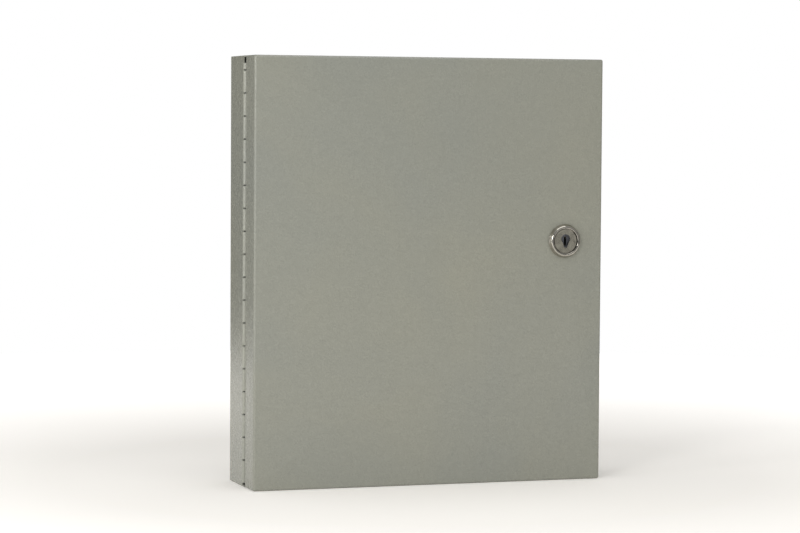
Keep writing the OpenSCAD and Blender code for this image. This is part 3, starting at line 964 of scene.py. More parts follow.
@dataclass(frozen=True)
class Moulded(Finish):
    """Moulded or extruded plastic: spark texture, flecks and gentle gloss changes.

    Attributes:
        gloss: Its roughness where it is smoothest.
        grain: Size of the spark texture, in millimetres.
        depth: Depth of the texture, in millimetres.
        mottle: How far its tone strays.
        sheen: Weight of a thin clear skin.
    """

    gloss: float = 0.4
    grain: float = 0.3
    depth: float = 0.008
    mottle: float = 0.12
    sheen: float = 0.0

    def mix(self, recipe: Recipe) -> None:
        """Mottles the tone, pits the surface and varies the gloss.

        Args:
            recipe: The material's recipe.
        """
        grain = recipe.noise(self.grain, 3)
        drift = recipe.noise(14, 3)
        value = recipe.sum(drift, grain, 0.4)
        tone = recipe.ramp(
            value, [(0.45, shade(self.tint, 1 - self.mottle)), (0.95, shade(self.tint, 1 + self.mottle))]
        )
        recipe.colour(tone)
        recipe.roughness(recipe.spread(value, self.gloss, self.gloss + 0.14, 0.5, 0.9))
        recipe.relief(recipe.sum(grain, recipe.cells(self.grain * 2), -0.3), self.depth)
        recipe.constants(IOR=1.49, Specular_IOR_Level=0.5, Coat_Weight=self.sheen, Coat_Roughness=0.12)


@dataclass(frozen=True)
class Clear(Finish):
    """Clear or tinted resin and glass, with faint flow marks and dust.

    Attributes:
        ior: Index of refraction.
        through: Share of the light that goes through.
        gloss: Roughness between the flow marks.
    """

    ior: float = 1.5
    through: float = 1.0
    gloss: float = 0.03

    def mix(self, recipe: Recipe) -> None:
        """Lets the tint and the gloss stray a little along soft flow marks.

        Args:
            recipe: The material's recipe.
        """
        flow = recipe.noise(2.5, 3, warp=0.8)
        recipe.colour(recipe.ramp(flow, [(0.3, shade(self.tint, 0.93)), (0.7, self.tint)]))
        recipe.roughness(recipe.spread(flow, self.gloss, self.gloss + 0.06))
        recipe.relief(flow, 0.004)
        recipe.constants(IOR=self.ior, Transmission_Weight=self.through)


@dataclass(frozen=True)
class Laminate(Finish):
    """Solder mask over woven glass: the weave shows faintly through the green skin."""

    def mix(self, recipe: Recipe) -> None:
        """Crosses two sets of fine bands for the weave, under cloudy tone.

        Args:
            recipe: The material's recipe.
        """
        warp, weft = recipe.waves(0.75, Axis.X, 0.6), recipe.waves(0.75, Axis.Z, 0.6)
        weave = recipe.sum(warp, weft, 1.0)
        cloud = recipe.noise(30, 4)
        deep = recipe.ramp(
            recipe.spread(weave, 0, 1, 0.2, 1.8), [(0.0, shade(self.tint, 0.8)), (1.0, shade(self.tint, 1.2))]
        )
        recipe.colour(recipe.blend(recipe.spread(cloud, 0, 0.35), deep, shade(self.tint, 0.6)))
        recipe.roughness(recipe.spread(cloud, 0.22, 0.36))
        recipe.relief(recipe.sum(weave, recipe.noise(1.5, 2), 0.6), 0.006)
        recipe.constants(Coat_Weight=0.4, Coat_Roughness=0.14)


@dataclass(frozen=True)
class Banded(Finish):
    """Layers seen on edge or turns side by side: laminated steel, wound wire, wrapped tape.

    Attributes:
        period: From one layer to the next, in millimetres.
        across: The axis that crosses the layers.
        metallic: Whether it is bare metal.
        gloss: Roughness on the crests.
        depth: Depth between the layers, in millimetres.
        wander: How far the layers stray.
    """

    period: float = 0.5
    across: Axis = Axis.Z
    metallic: float = 0.0
    gloss: float = 0.35
    depth: float = 0.05
    wander: float = 0.3

    def mix(self, recipe: Recipe) -> None:
        """Bands give tone, gloss and relief; noise breaks them up.

        Args:
            recipe: The material's recipe.
        """
        bands = recipe.waves(self.period, self.across, self.wander)
        drift = recipe.noise(5, 4, warp=0.5)
        tone = recipe.ramp(recipe.sum(bands, drift, 0.9), [(0.2, shade(self.tint, 0.35)), (0.95, self.tint)])
        recipe.colour(tone)
        recipe.roughness(recipe.spread(drift, self.gloss, self.gloss + 0.2))
        recipe.relief(recipe.sum(bands, recipe.noise(0.4, 2), 0.2), self.depth)
        recipe.constants(Metallic=self.metallic, Coat_Weight=0.25, Coat_Roughness=0.2)


@dataclass(frozen=True)
class Paper(Finish):
    """Uncoated sheet: short fibres, a faint yellowing and a slight cockle."""

    def mix(self, recipe: Recipe) -> None:
        """Lays fibres as stretched noise in two directions.

        Args:
            recipe: The material's recipe.
        """
        one = recipe.noise(0.35, 3, recipe.mapped((0.2, 1, 1), (0, 35, 0)))
        two = recipe.noise(0.35, 3, recipe.mapped((1, 1, 0.2), (0, 20, 0)))
        fibres = recipe.sum(one, two, 1.0)
        recipe.colour(
            recipe.ramp(
                recipe.sum(fibres, recipe.noise(60, 2), 0.5), [(0.8, shade(self.tint, 0.9)), (1.6, self.tint)]
            )
        )
        recipe.roughness(recipe.spread(fibres, 0.72, 0.9, 0.6, 1.4))
        recipe.relief(recipe.sum(fibres, recipe.noise(35, 2), 2.0), 0.02)
        recipe.constants(Specular_IOR_Level=0.3)


# The panel's finishes. Tints are linear.
CABINET_PAINT = PowderCoat("cabinet_powder_coat", (0.287, 0.290, 0.247))
# The hinge's coat is lighter than the cabinet's: a painted highlight that puts the light the round knuckles
# catch into its colour.
HINGE_PAINT_WITH_HIGHLIGHT = PowderCoat("hinge_coat_painted_highlight", (0.350, 0.354, 0.305))
ZINC = Metal("bright_zinc", (0.62, 0.62, 0.60), 0.24, 0.45, second=(0.50, 0.52, 0.56))
# The pin is steel, but its near-black tint is painted shade for the dark gaps between the knuckles.
PIN_STEEL_GAP_SHADE = Metal("pin_steel_painted_gap_shade", (0.09, 0.09, 0.085), 0.22, 0.38, Lay.ALONG_Z)
LOCK_CHROME = Metal("lock_chrome", (0.50, 0.475, 0.42), 0.05, 0.12, mark=0.4, depth=0.0012)
PLUG_NICKEL = Metal("satin_nickel_plug", (0.43, 0.41, 0.34), 0.22, 0.36, mark=0.2, depth=0.003)
# The key pocket's dark nickel is painted shade in the recess of the plug's face.
PLUG_SHADE = Metal("key_pocket_painted_shade", (0.17, 0.175, 0.19), 0.14, 0.3, mark=0.5, depth=0.02)
WAFER_BRASS = Metal(
    "stamped_wafer_brass", (0.72, 0.50, 0.20), 0.22, 0.4, Lay.ALONG_X, second=(0.55, 0.34, 0.12)
)
TIN = Metal("bright_tin", (0.74, 0.73, 0.69), 0.18, 0.34)
SOLDER = Metal("solder_joints", (0.66, 0.66, 0.65), 0.16, 0.36, mark=0.6, depth=0.01)
CAN_TOP = Metal("can_aluminium", (0.72, 0.73, 0.74), 0.28, 0.42, Lay.ALONG_X)
SINK_BLACK = Metal("black_anodised_fins", (0.030, 0.030, 0.033), 0.34, 0.5, Lay.ALONG_Y, depth=0.01)
BOARD_MASK = Laminate("green_solder_mask", (0.012, 0.085, 0.032))
TRACKS = Moulded("masked_copper_tracks", (0.028, 0.165, 0.058), 0.24, 0.5, 0.004, 0.1, 0.4)
LEGEND_INK = Moulded("white_legend_ink", (0.72, 0.73, 0.70), 0.5, 0.2, 0.004, 0.06)
TERMINAL_GREEN = Moulded("terminal_green", (0.012, 0.135, 0.055), 0.38, 0.25)
CHIP_BLACK = Moulded("chip_epoxy", (0.018, 0.018, 0.020), 0.5, 0.12, 0.01, 0.25)
RELAY_WHITE = Moulded("relay_case_white", (0.66, 0.66, 0.61), 0.3, 0.4, 0.006, 0.04, 0.15)
CAN_SLEEVE = Moulded("can_sleeve_blue", (0.020, 0.028, 0.130), 0.22, 0.8, 0.006, 0.12, 0.3)
CAN_STRIPE = Moulded("can_stripe_grey", (0.42, 0.45, 0.50), 0.25, 0.8, 0.006, 0.06, 0.3)
RESISTOR_TAN = Moulded("resistor_tan", (0.52, 0.38, 0.21), 0.3, 0.3, 0.012, 0.08, 0.2)
BAND_BROWN = Moulded("resistor_band_brown", (0.12, 0.045, 0.015), 0.32, 0.3)
BAND_RED = Moulded("resistor_band_red", (0.42, 0.022, 0.015), 0.32, 0.3)
BAND_GOLD = Metal("resistor_band_gold", (0.58, 0.42, 0.14), 0.3, 0.42)
BLACK_MOULDING = Moulded("black_moulding", (0.022, 0.022, 0.024), 0.42, 0.3, 0.01, 0.2)
GLASS_TUBE = Clear("fuse_glass", (0.93, 0.97, 0.97), 1.47, 1.0, 0.01)
LAMP_RED = Clear("lamp_red_epoxy", (0.62, 0.012, 0.008), 1.5, 0.45, 0.1)
LAMP_YELLOW = Clear("lamp_yellow_epoxy", (0.80, 0.36, 0.010), 1.5, 0.45, 0.1)
LAMP_GREEN = Clear("lamp_green_epoxy", (0.02, 0.42, 0.045), 1.5, 0.45, 0.1)
COVER_CLEAR = Clear("clear_cover_resin", (0.90, 0.94, 0.96), 1.58, 0.9, 0.04)
CORE_PLATES = Banded("core_laminations", (0.11, 0.11, 0.12), 0.7, Axis.Z, 0.6, 0.4, 0.05, 0.15)
COIL_TAPE = Banded("coil_tape", (0.50, 0.30, 0.055), 3.0, Axis.Z, 0.0, 0.22, 0.05, 0.5)
COIL_FORMER = Moulded("coil_former_nylon", (0.60, 0.57, 0.48), 0.4, 0.5, 0.006, 0.06)
VINYL_BLACK = Moulded("vinyl_black", (0.016, 0.016, 0.017), 0.36, 0.6, 0.006, 0.2)
VINYL_RED = Moulded("vinyl_red", (0.43, 0.014, 0.010), 0.34, 0.6, 0.006, 0.1)
VINYL_YELLOW = Moulded("vinyl_yellow", (0.70, 0.45, 0.020), 0.34, 0.6, 0.006, 0.08)
VINYL_GREEN = Moulded("vinyl_green", (0.020, 0.20, 0.028), 0.34, 0.6, 0.006, 0.1)
BATTERY_CASE = Moulded("battery_case_grey", (0.030, 0.031, 0.034), 0.46, 0.5, 0.014, 0.15)
BATTERY_LID = Moulded("battery_lid_grey", (0.042, 0.043, 0.047), 0.42, 0.5, 0.014, 0.15)
BATTERY_PANEL = Moulded("battery_blank_label", (0.50, 0.51, 0.50), 0.35, 0.6, 0.003, 0.03, 0.2)
SOCKET_NYLON = Moulded("socket_nylon", (0.64, 0.62, 0.54), 0.35, 0.5, 0.006, 0.05, 0.1)
SHEET_PAPER = Paper("diagram_paper", (0.80, 0.80, 0.75))
PRINT_INK = Moulded("diagram_ink", (0.035, 0.036, 0.045), 0.7, 0.3, 0.002, 0.2)
CAP_YELLOW = Moulded("cap_yellow", (0.66, 0.45, 0.03), 0.3, 0.4, 0.006, 0.06, 0.2)
CAP_BLUE = Moulded("cap_blue", (0.030, 0.11, 0.40), 0.3, 0.4, 0.006, 0.08, 0.2)
CAP_RED = Moulded("cap_red", (0.46, 0.016, 0.012), 0.3, 0.4, 0.006, 0.08, 0.2)


def outline(left: float, low: float, right: float, high: float, width: float, depth: float) -> Shell:
    """A rectangle drawn with one strip, from the middle of its low side and round again.

    Args:
        left: Its left side.
        low: Its low side.
        right: Its right side.
        high: Its high side.
        width: Width of the strip.
        depth: Thickness of the strip.

    Returns:
        The strip, on Z = 0.
    """
    middle = (left + right) / 2
    path = [(middle, low), (right, low), (right, high), (left, high), (left, low), (middle, low)]
    return ribbon(path, width, depth)


def nut(across_flats: float, depth: float, bore: float, sides: int = 48) -> Shell:
    """Six-sided nut or spacer with turned-down corners and a round bore, standing on Z = 0.

    Its outside is the lesser of the hexagon's reach, half the flats over cos(t - 30) in a sixth, and a cone
    that grows from the flats' circle by 1.73 for each unit in from either end.

    Args:
        across_flats: Size over two flats.
        depth: Length of the nut.
        bore: Radius of the bore.
        sides: Points on each loop.

    Returns:
        The nut.
    """
    angle = 2 * np.pi * np.arange(sides) / sides
    flat = across_flats / 2
    hexagon = flat / np.cos(np.mod(angle, np.pi / 3) - np.pi / 6)
    height = np.array([0, 0.06, 0.14, 0.24, 0.4, 0.5]) * min(depth, across_flats / 2)
    height = np.concatenate([height, depth - height[::-1]])
    cone = flat * 0.98 + 1.73 * np.minimum(height, depth - height)
    reach = np.minimum(hexagon[None], cone[:, None])
    inner = np.full((4, sides), bore) + np.array([0.2, 0, 0, 0.2])[:, None]
    reach = np.concatenate([reach, inner])
    height = np.concatenate([height, [depth, depth - 0.2, 0.2, 0]])
    loops = np.stack(
        [reach * np.cos(angle), reach * np.sin(angle), np.broadcast_to(height[:, None], reach.shape)], axis=2
    )
    return loft(loops, closed=True)


def thread(
    radius: float,
    length: float,
    pitch: float,
    cut: float,
    flat: float = 1e3,
    bore: float = 0.0,
    sides: int = 36,
) -> Shell:
    """Threaded bar or sleeve that stands on Z = 0.

    Its radius is r - cut * tri(z / pitch - t / full turn), a ridge that climbs one pitch a turn, and no point
    lies further than the flats from the plane between them.

    Args:
        radius: Radius over the crests.
        length: Length of the bar.
        pitch: Height from one crest to the next.
        cut: Depth of the thread.
        flat: Distance from the axis to the flats on either side.
        bore: Radius of the bore, or 0 for a solid bar.
        sides: Points on each loop.

    Returns:
        The threaded piece.
    """
    angle = 2 * np.pi * np.arange(sides) / sides
    height = np.linspace(0, length, int(length / pitch * 4) + 1)
    turn = height[:, None] / pitch - angle[None] / (2 * np.pi)
    reach = radius - cut * np.abs(2 * (turn - np.floor(turn)) - 1)
    reach[[0, -1]] = radius - cut
    reach = np.minimum(reach, flat / np.maximum(np.abs(np.cos(angle)), 1e-6))
    if bore:
        reach = np.concatenate([reach, np.full((2, sides), bore)])
        height = np.concatenate([height, [length, 0]])
    loops = np.stack(
        [reach * np.cos(angle), reach * np.sin(angle), np.broadcast_to(height[:, None], reach.shape)], axis=2
    )
    return loft(loops, closed=bool(bore))


def washer(outer: float, bore: float, depth: float, ease: float = 0.15) -> Shell:
    """Flat ring with eased edges, standing on Z = 0.

    Args:
        outer: Outside radius.
        bore: Radius of the hole.
        depth: Thickness.
        ease: Size of the eased edges.

    Returns:
        The ring.
    """
    profile = [
        (outer - ease, 0), (outer, ease), (outer, depth - ease), (outer - ease, depth),
        (bore + ease, depth), (bore, depth - ease), (bore, ease), (bore + ease, 0),
    ]
    return lathe(profile, 64, closed=True)


@dataclass(frozen=True)
class FoldedBox:
    """The cabinet's back box, with the studs welded to it and their nuts.

    Attributes:
        edge: Radius of the sheet's cut edges.
        stud_pitch: Pitch of the studs' thread.
        stud_cut: Depth of the thread.
    """

    edge: float = 0.3
    stud_pitch: float = 0.8
    stud_cut: float = 0.28

    def build(self, shop: Workshop) -> None:
        """Makes the box, its studs and nuts.

        Args:
            shop: The workshop.
        """
        shop.eased("back_box", CABINET_PAINT, self.edge, 3)
        studs = [
            thread(box.width / 2, box.depth, self.stud_pitch, self.stud_cut, sides=24).facing(
                box.x, box.z, box.u
            )
            for box in shop.solids("weld_studs")
        ]
        shop.piece("welded_studs", joined(studs), [ZINC], ["weld_studs"])
        stud_r = min(box.width for box in shop.solids("weld_studs")) / 2
        earth_r = max(box.width for box in shop.solids("weld_studs")) / 2
        boxes = shop.solids("hex_nuts")
        largest = max(box.height for box in boxes)
        nuts = [
            nut(box.height, box.depth, (earth_r if box.height > largest - 0.1 else stud_r) + 0.05)
            .facing(box.x, box.z, box.u)
            for box in boxes
        ]
        shop.piece("stud_nuts", joined(nuts), [ZINC], ["hex_nuts"], smooth=28)


@dataclass(frozen=True)
class Door:
    """The door pan, folded from one sheet, with the diagram pasted inside it.

    Attributes:
        sheet: Thickness of the sheet.
        fold: Outside radius of the folds.
        corner: Radius of the welded and dressed corners.
        edge: How far the flange's cut edge is eased.
        steps: Points across a fold.
    """

    sheet: float = 1.2
    fold: float = 2.0
    corner: float = 1.5
    edge: float = 0.3
    steps: int = 9

    def loop(self, box: Box, inset: float, y: float) -> Array:
        """The pan's outline, brought in by an inset, at one depth.

        Args:
            box: The door's box.
            inset: How far inside the outer faces it runs.
            y: Its depth.

        Returns:
            The loop's points.
        """
        flat = rounded(
            box.width - 2 * inset,
            box.height - 2 * inset,
            max(self.corner - inset, 0.2),
            per_corner=7,
            per_side=9,
        )
        return np.stack([flat[:, 0] + box.x, np.full(len(flat), y), flat[:, 1] + box.z], axis=1)

    def pan(self, box: Box, lock: Box, hole: float) -> Shell:
        """The folded pan.

        A profile is carried round the door's outline: up the flange, round the fold by
        inset = r (1 - cos t), y = front + r (1 - sin t), over the face to the lock's hole, through and back
        along the inside one sheet's thickness away.

        Args:
            box: The door's box.
            lock: The lock's box, which the hole is centred on.
            hole: Radius of the hole.

        Returns:
            The pan.
        """
        front, lip = float(box.low[1]), float(box.high[1])
        turn = np.linspace(0, np.pi / 2, self.steps)
        outer = [(self.edge, lip), (0.0, lip - self.edge)]
        outer += [(self.fold * (1 - math.cos(t)), front + self.fold * (1 - math.sin(t))) for t in turn]
        inner_r = self.fold - self.sheet
        inner = [
            (self.sheet + inner_r * (1 - math.cos(t)), front + self.sheet + inner_r * (1 - math.sin(t)))
            for t in turn[::-1]
        ]
        inner += [(self.sheet, lip - self.edge), (self.sheet - self.edge, lip)]
        edge = self.loop(box, self.fold, front)
        angle = np.arctan2(edge[:, 2] - lock.z, edge[:, 0] - lock.x)
        rim = np.stack(
            [lock.x + hole * np.cos(angle), np.full(len(edge), front), lock.z + hole * np.sin(angle)], 1
        )
        loops = [self.loop(box, *station) for station in outer]
        loops += [rim, rim + np.array([0, self.sheet, 0])]
        loops += [self.loop(box, *station) for station in inner]
        return loft(np.stack(loops), closed=True)

    def diagram(self, sheet: Box) -> Shell:
        """Printed lines of a wiring diagram, with no lettering.

        It has a border, the board's outline with a row of terminals, a line from each terminal to a round
        device on its own loop, and a ruled table under them.

        Args:
            sheet: The paper's box.

        Returns:
            The lines, lying on the paper's inner face.
        """
        half_w, half_h = sheet.width / 2 - 6, sheet.height / 2 - 6
        thin, thick, ink = 0.35, 0.7, 0.03
        lines = [outline(-half_w, -half_h, half_w, half_h, thick, ink), outline(-55, 12, 55, 42, thick, ink)]
        terminals = np.linspace(-48, 48, 13)
        square = outline(-2.2, 14, 2.2, 18.4, thin, ink)
        lines.append(square.repeated([(x, 0, 0) for x in terminals]))
        for index, x in enumerate(terminals[1:-1:2]):
            reach = -6 - 5 * (index % 3)
            lines.append(ribbon([(x, 14), (x, reach), (x + 6, reach - 6), (x + 6, reach - 9)], thin, ink))
            device = lathe([(2.6, 0), (2.6, ink), (2.25, ink), (2.25, 0)], 32, closed=True)
            lines.append(device.moved(x + 6, reach - 11.6, 0))
        lines += [outline(x - 9, 24, x + 9, 38, thin, ink) for x in (-40, -14, 14, 40)]
        lines += [outline(-half_w + 8, row, half_w - 8, row + 7, thin, ink) for row in (-78, -71, -64, -57)]
        lines += [ribbon([(x, -78), (x, -50)], thin, ink) for x in (-30, 8, 36)]
        lines += [
            ribbon([(-52, z), (-52 + length, z)], thick, ink) for z, length in ((78, 70), (70, 104), (63, 92))
        ]
        return joined(lines).turned(Axis.X, -90).moved(sheet.x, float(sheet.high[1]), sheet.z)

    def build(self, shop: Workshop) -> None:
        """Makes the pan, dresses the paper and prints the diagram.

        Args:
            shop: The workshop.
        """
        hole = shop.box("lock_washer").width / 2 - 3.4
        shell = self.pan(shop.box("door"), shop.box("lock_plug"), hole)
        shop.piece("door_pan", shell, [CABINET_PAINT], ["door"], smooth=25)
        shop.dress("wiring_sheet", SHEET_PAPER)
        shop.piece(
            "wiring_diagram",
            self.diagram(shop.box("wiring_sheet")),
            [PRINT_INK],
            body="door",
            slot="sheet_paper",
        )


@dataclass(frozen=True)
class PianoHinge:
    """Full-length hinge: two leaves whose knuckles are rolled from the leaf, and the pin through them.

    Attributes:
        pitch: Length of a knuckle with its gap.
        gap: Space between two knuckles.
        knuckle: Outside radius of a knuckle.
        thickness: Thickness of a leaf.
        leaf_x: Middle of the leaf's thickness, to the right of the pin.
        width: From the pin to the leaf's far edge.
        root: From the pin to where the knuckles leave the leaf.
    """

    pitch: float = 18.9
    gap: float = 1.2
    knuckle: float = 2.3
    thickness: float = 1.1
    leaf_x: float = 0.85
    width: float = 24.0
    root: float = 2.6

    def leaf(self, side: int, first: int, low: float, high: float) -> Shell:
        """One leaf about the pin, along Z.

        A knuckle is a strip carried along its leaf, then round the pin on a circle of the mean of the outer
        radius and the bore, through all but the last few degrees.

        Args:
            side: -1 for the door's leaf, which lies towards -Y, and 1 for the box's.
            first: Number of its first knuckle from the bottom.
            low: Height of the hinge's lower end.
            high: Height of its upper end.

        Returns:
            The leaf, about an upright pin at the origin.
        """
        middle = self.knuckle - self.thickness / 2
        start = math.degrees(math.asin(-math.sqrt(middle**2 - self.leaf_x**2) / middle))
        curl = arc((0, 0), middle, start, 268, 30)
        path = np.concatenate([[(self.leaf_x, -self.root - 0.2)], curl])
        starts = low + self.pitch * np.arange(first, math.ceil((high - low) / self.pitch), 2)
        lengths = np.minimum(starts + self.pitch, high) - self.gap / 2
        starts = np.maximum(starts + self.gap / 2 * (starts > low), low)
        lengths -= starts
        shells = [ribbon(path, self.thickness, length, 0.22).moved(z=z) for z, length in zip(starts, lengths)]
        plate = ribbon(
            [(self.leaf_x, -self.width), (self.leaf_x, -self.root)], self.thickness, high - low, 0.2
        )
        leaf = joined(shells + [plate.moved(z=low)])
        if side > 0:
            leaf = Shell(leaf.points * np.array([1, -1, 1]), *self.turned_over(leaf), leaf.finish)
        return leaf

    def turned_over(self, shell: Shell) -> tuple[Array, Array]:
        """Corners and counts with each face read backwards, which a mirrored shell needs.

        Faces are grouped by their number of corners, and each corner takes the number of the one as far from
        its face's other end.

        Args:
            shell: The shell.

        Returns:
            The corners and the counts.
        """
        ends = np.cumsum(shell.counts)
        face = np.repeat(np.arange(len(ends)), shell.counts)
        place = np.arange(len(shell.corners))
        starts = ends - shell.counts
        return shell.corners[(starts + ends - 1)[face] - place], shell.counts

    def build(self, shop: Workshop) -> None:
        """Makes the leaves and the pin.

        Args:
            shop: The workshop.
        """
        pin = shop.box("hinge_pin")
        low, high = float(pin.low[2]), float(shop.box("hinge_door_leaf").high[2])
        y = float(pin.low[1] + pin.high[1]) / 2
        for name, node, side, first in (
            ("door_hinge_leaf", "hinge_door_leaf", -1, 0),
            ("box_hinge_leaf", "hinge_box_leaf", 1, 1),
        ):
            shell = self.leaf(side, first, low, high).moved(pin.x, y)
            # Both leaves wear the lighter coat, a painted highlight for the knuckles.
            shop.piece(name, shell, [HINGE_PAINT_WITH_HIGHLIGHT], [node], smooth=40)
        radius = pin.width / 2
        length = float(pin.high[2]) - low
        profile = [(radius - 0.35, 0), (radius, 0.3), (radius, length - 0.3), (radius - 0.35, length)]
        # The pin's near-black steel is painted shade in the knuckle gaps.
        shop.piece("hinge_rod", lathe(profile, 24).moved(pin.x, y, low), [PIN_STEEL_GAP_SHADE], ["hinge_pin"])


@dataclass(frozen=True)
class CamLock:
    """Cam lock through the door: domed bezel, threaded body, turning plug, nut and cam.

    Attributes:
        bezel_r: Radius of the bezel.
        bezel_h: How far it stands off the door.
        seat_r: Radius of the recess round the plug's face.
        seat_z: Height of the recess's floor.
        bore: Radius of the body's bore.
        body_r: Radius of the threaded body.
        flat: Distance from the axis to the body's flats.
        body_l: Length of the body behind the bezel.
    """

    bezel_r: float = 14.2
    bezel_h: float = 4.2
    seat_r: float = 10.65
    seat_z: float = 0.9
    bore: float = 7.6
    body_r: float = 9.5
    flat: float = 8.3
    body_l: float = 27.5

    def bezel(self) -> Shell:
        """Turned ring with a steep side, a round shoulder and a chamfer down to the plug's face.

        Returns:
            The bezel, with the door's face at Z = 0.
        """
        side = [
            (self.bezel_r - 0.9, 0.0), (self.bezel_r - 0.9, 0.35), (self.bezel_r - 0.1, 0.5),
            (self.bezel_r, 0.7),
        ]
        side += [(self.bezel_r - 0.18, 1.0)]
        shoulder = arc((self.bezel_r - 2.45, self.bezel_h - 1.3), 1.3, 28, 90, 12)
        mouth = arc((self.seat_r + 0.55, self.bezel_h - 0.5), 0.5, 90, 175, 6)
        seat = [(self.seat_r, self.seat_z), (self.bore, self.seat_z), (self.bore, 0.0)]
        return lathe(np.concatenate([side, shoulder, mouth, seat]), 128, closed=True)

    def build(self, shop: Workshop) -> None:
        """Makes the bezel with its body, and dresses the moving pieces.

        Args:
            shop: The workshop.
        """
        plug, door = shop.box("lock_plug"), shop.box("door")
        face_u = -float(door.low[1])
        body = thread(self.body_r, self.body_l + 0.2, 1.4, 0.4, self.flat, self.bore, 48).moved(
            z=-self.body_l
        )
        shell = joined([self.bezel(), body]).facing(plug.x, plug.z, face_u)
        shop.piece("lock_bezel", shell, [LOCK_CHROME], ["lock_housing"], smooth=32)
        ring, lock_nut = shop.box("lock_washer"), shop.box("lock_nut")
        shell = washer(ring.width / 2, self.body_r + 0.05, ring.depth).facing(ring.x, ring.z, ring.u)
        shop.piece("lock_ring", shell, [ZINC], ["lock_washer"])
        shell = nut(lock_nut.height, lock_nut.depth, self.body_r + 0.05, 72).facing(
            lock_nut.x, lock_nut.z, lock_nut.u
        )
        shop.piece("lock_clamp_nut", shell, [ZINC], ["lock_nut"], smooth=28)
        # The key pocket's faces, and those deeper in the bore, wear PLUG_SHADE: painted shade in the recess.
        shop.eased(
            "lock_plug", PLUG_NICKEL, 0.32, 3, PLUG_SHADE,
            lambda c: (-c[:, 1] < face_u + 3.0) & (np.hypot(c[:, 0] - plug.x, c[:, 2] - plug.z) < self.bore)
        )
        shop.eased("lock_wafers", WAFER_BRASS, 0.05, 1)
        shop.eased("lock_cam", ZINC, 0.3, 3)
        shop.eased("cam_screw", ZINC, 0.2, 2)


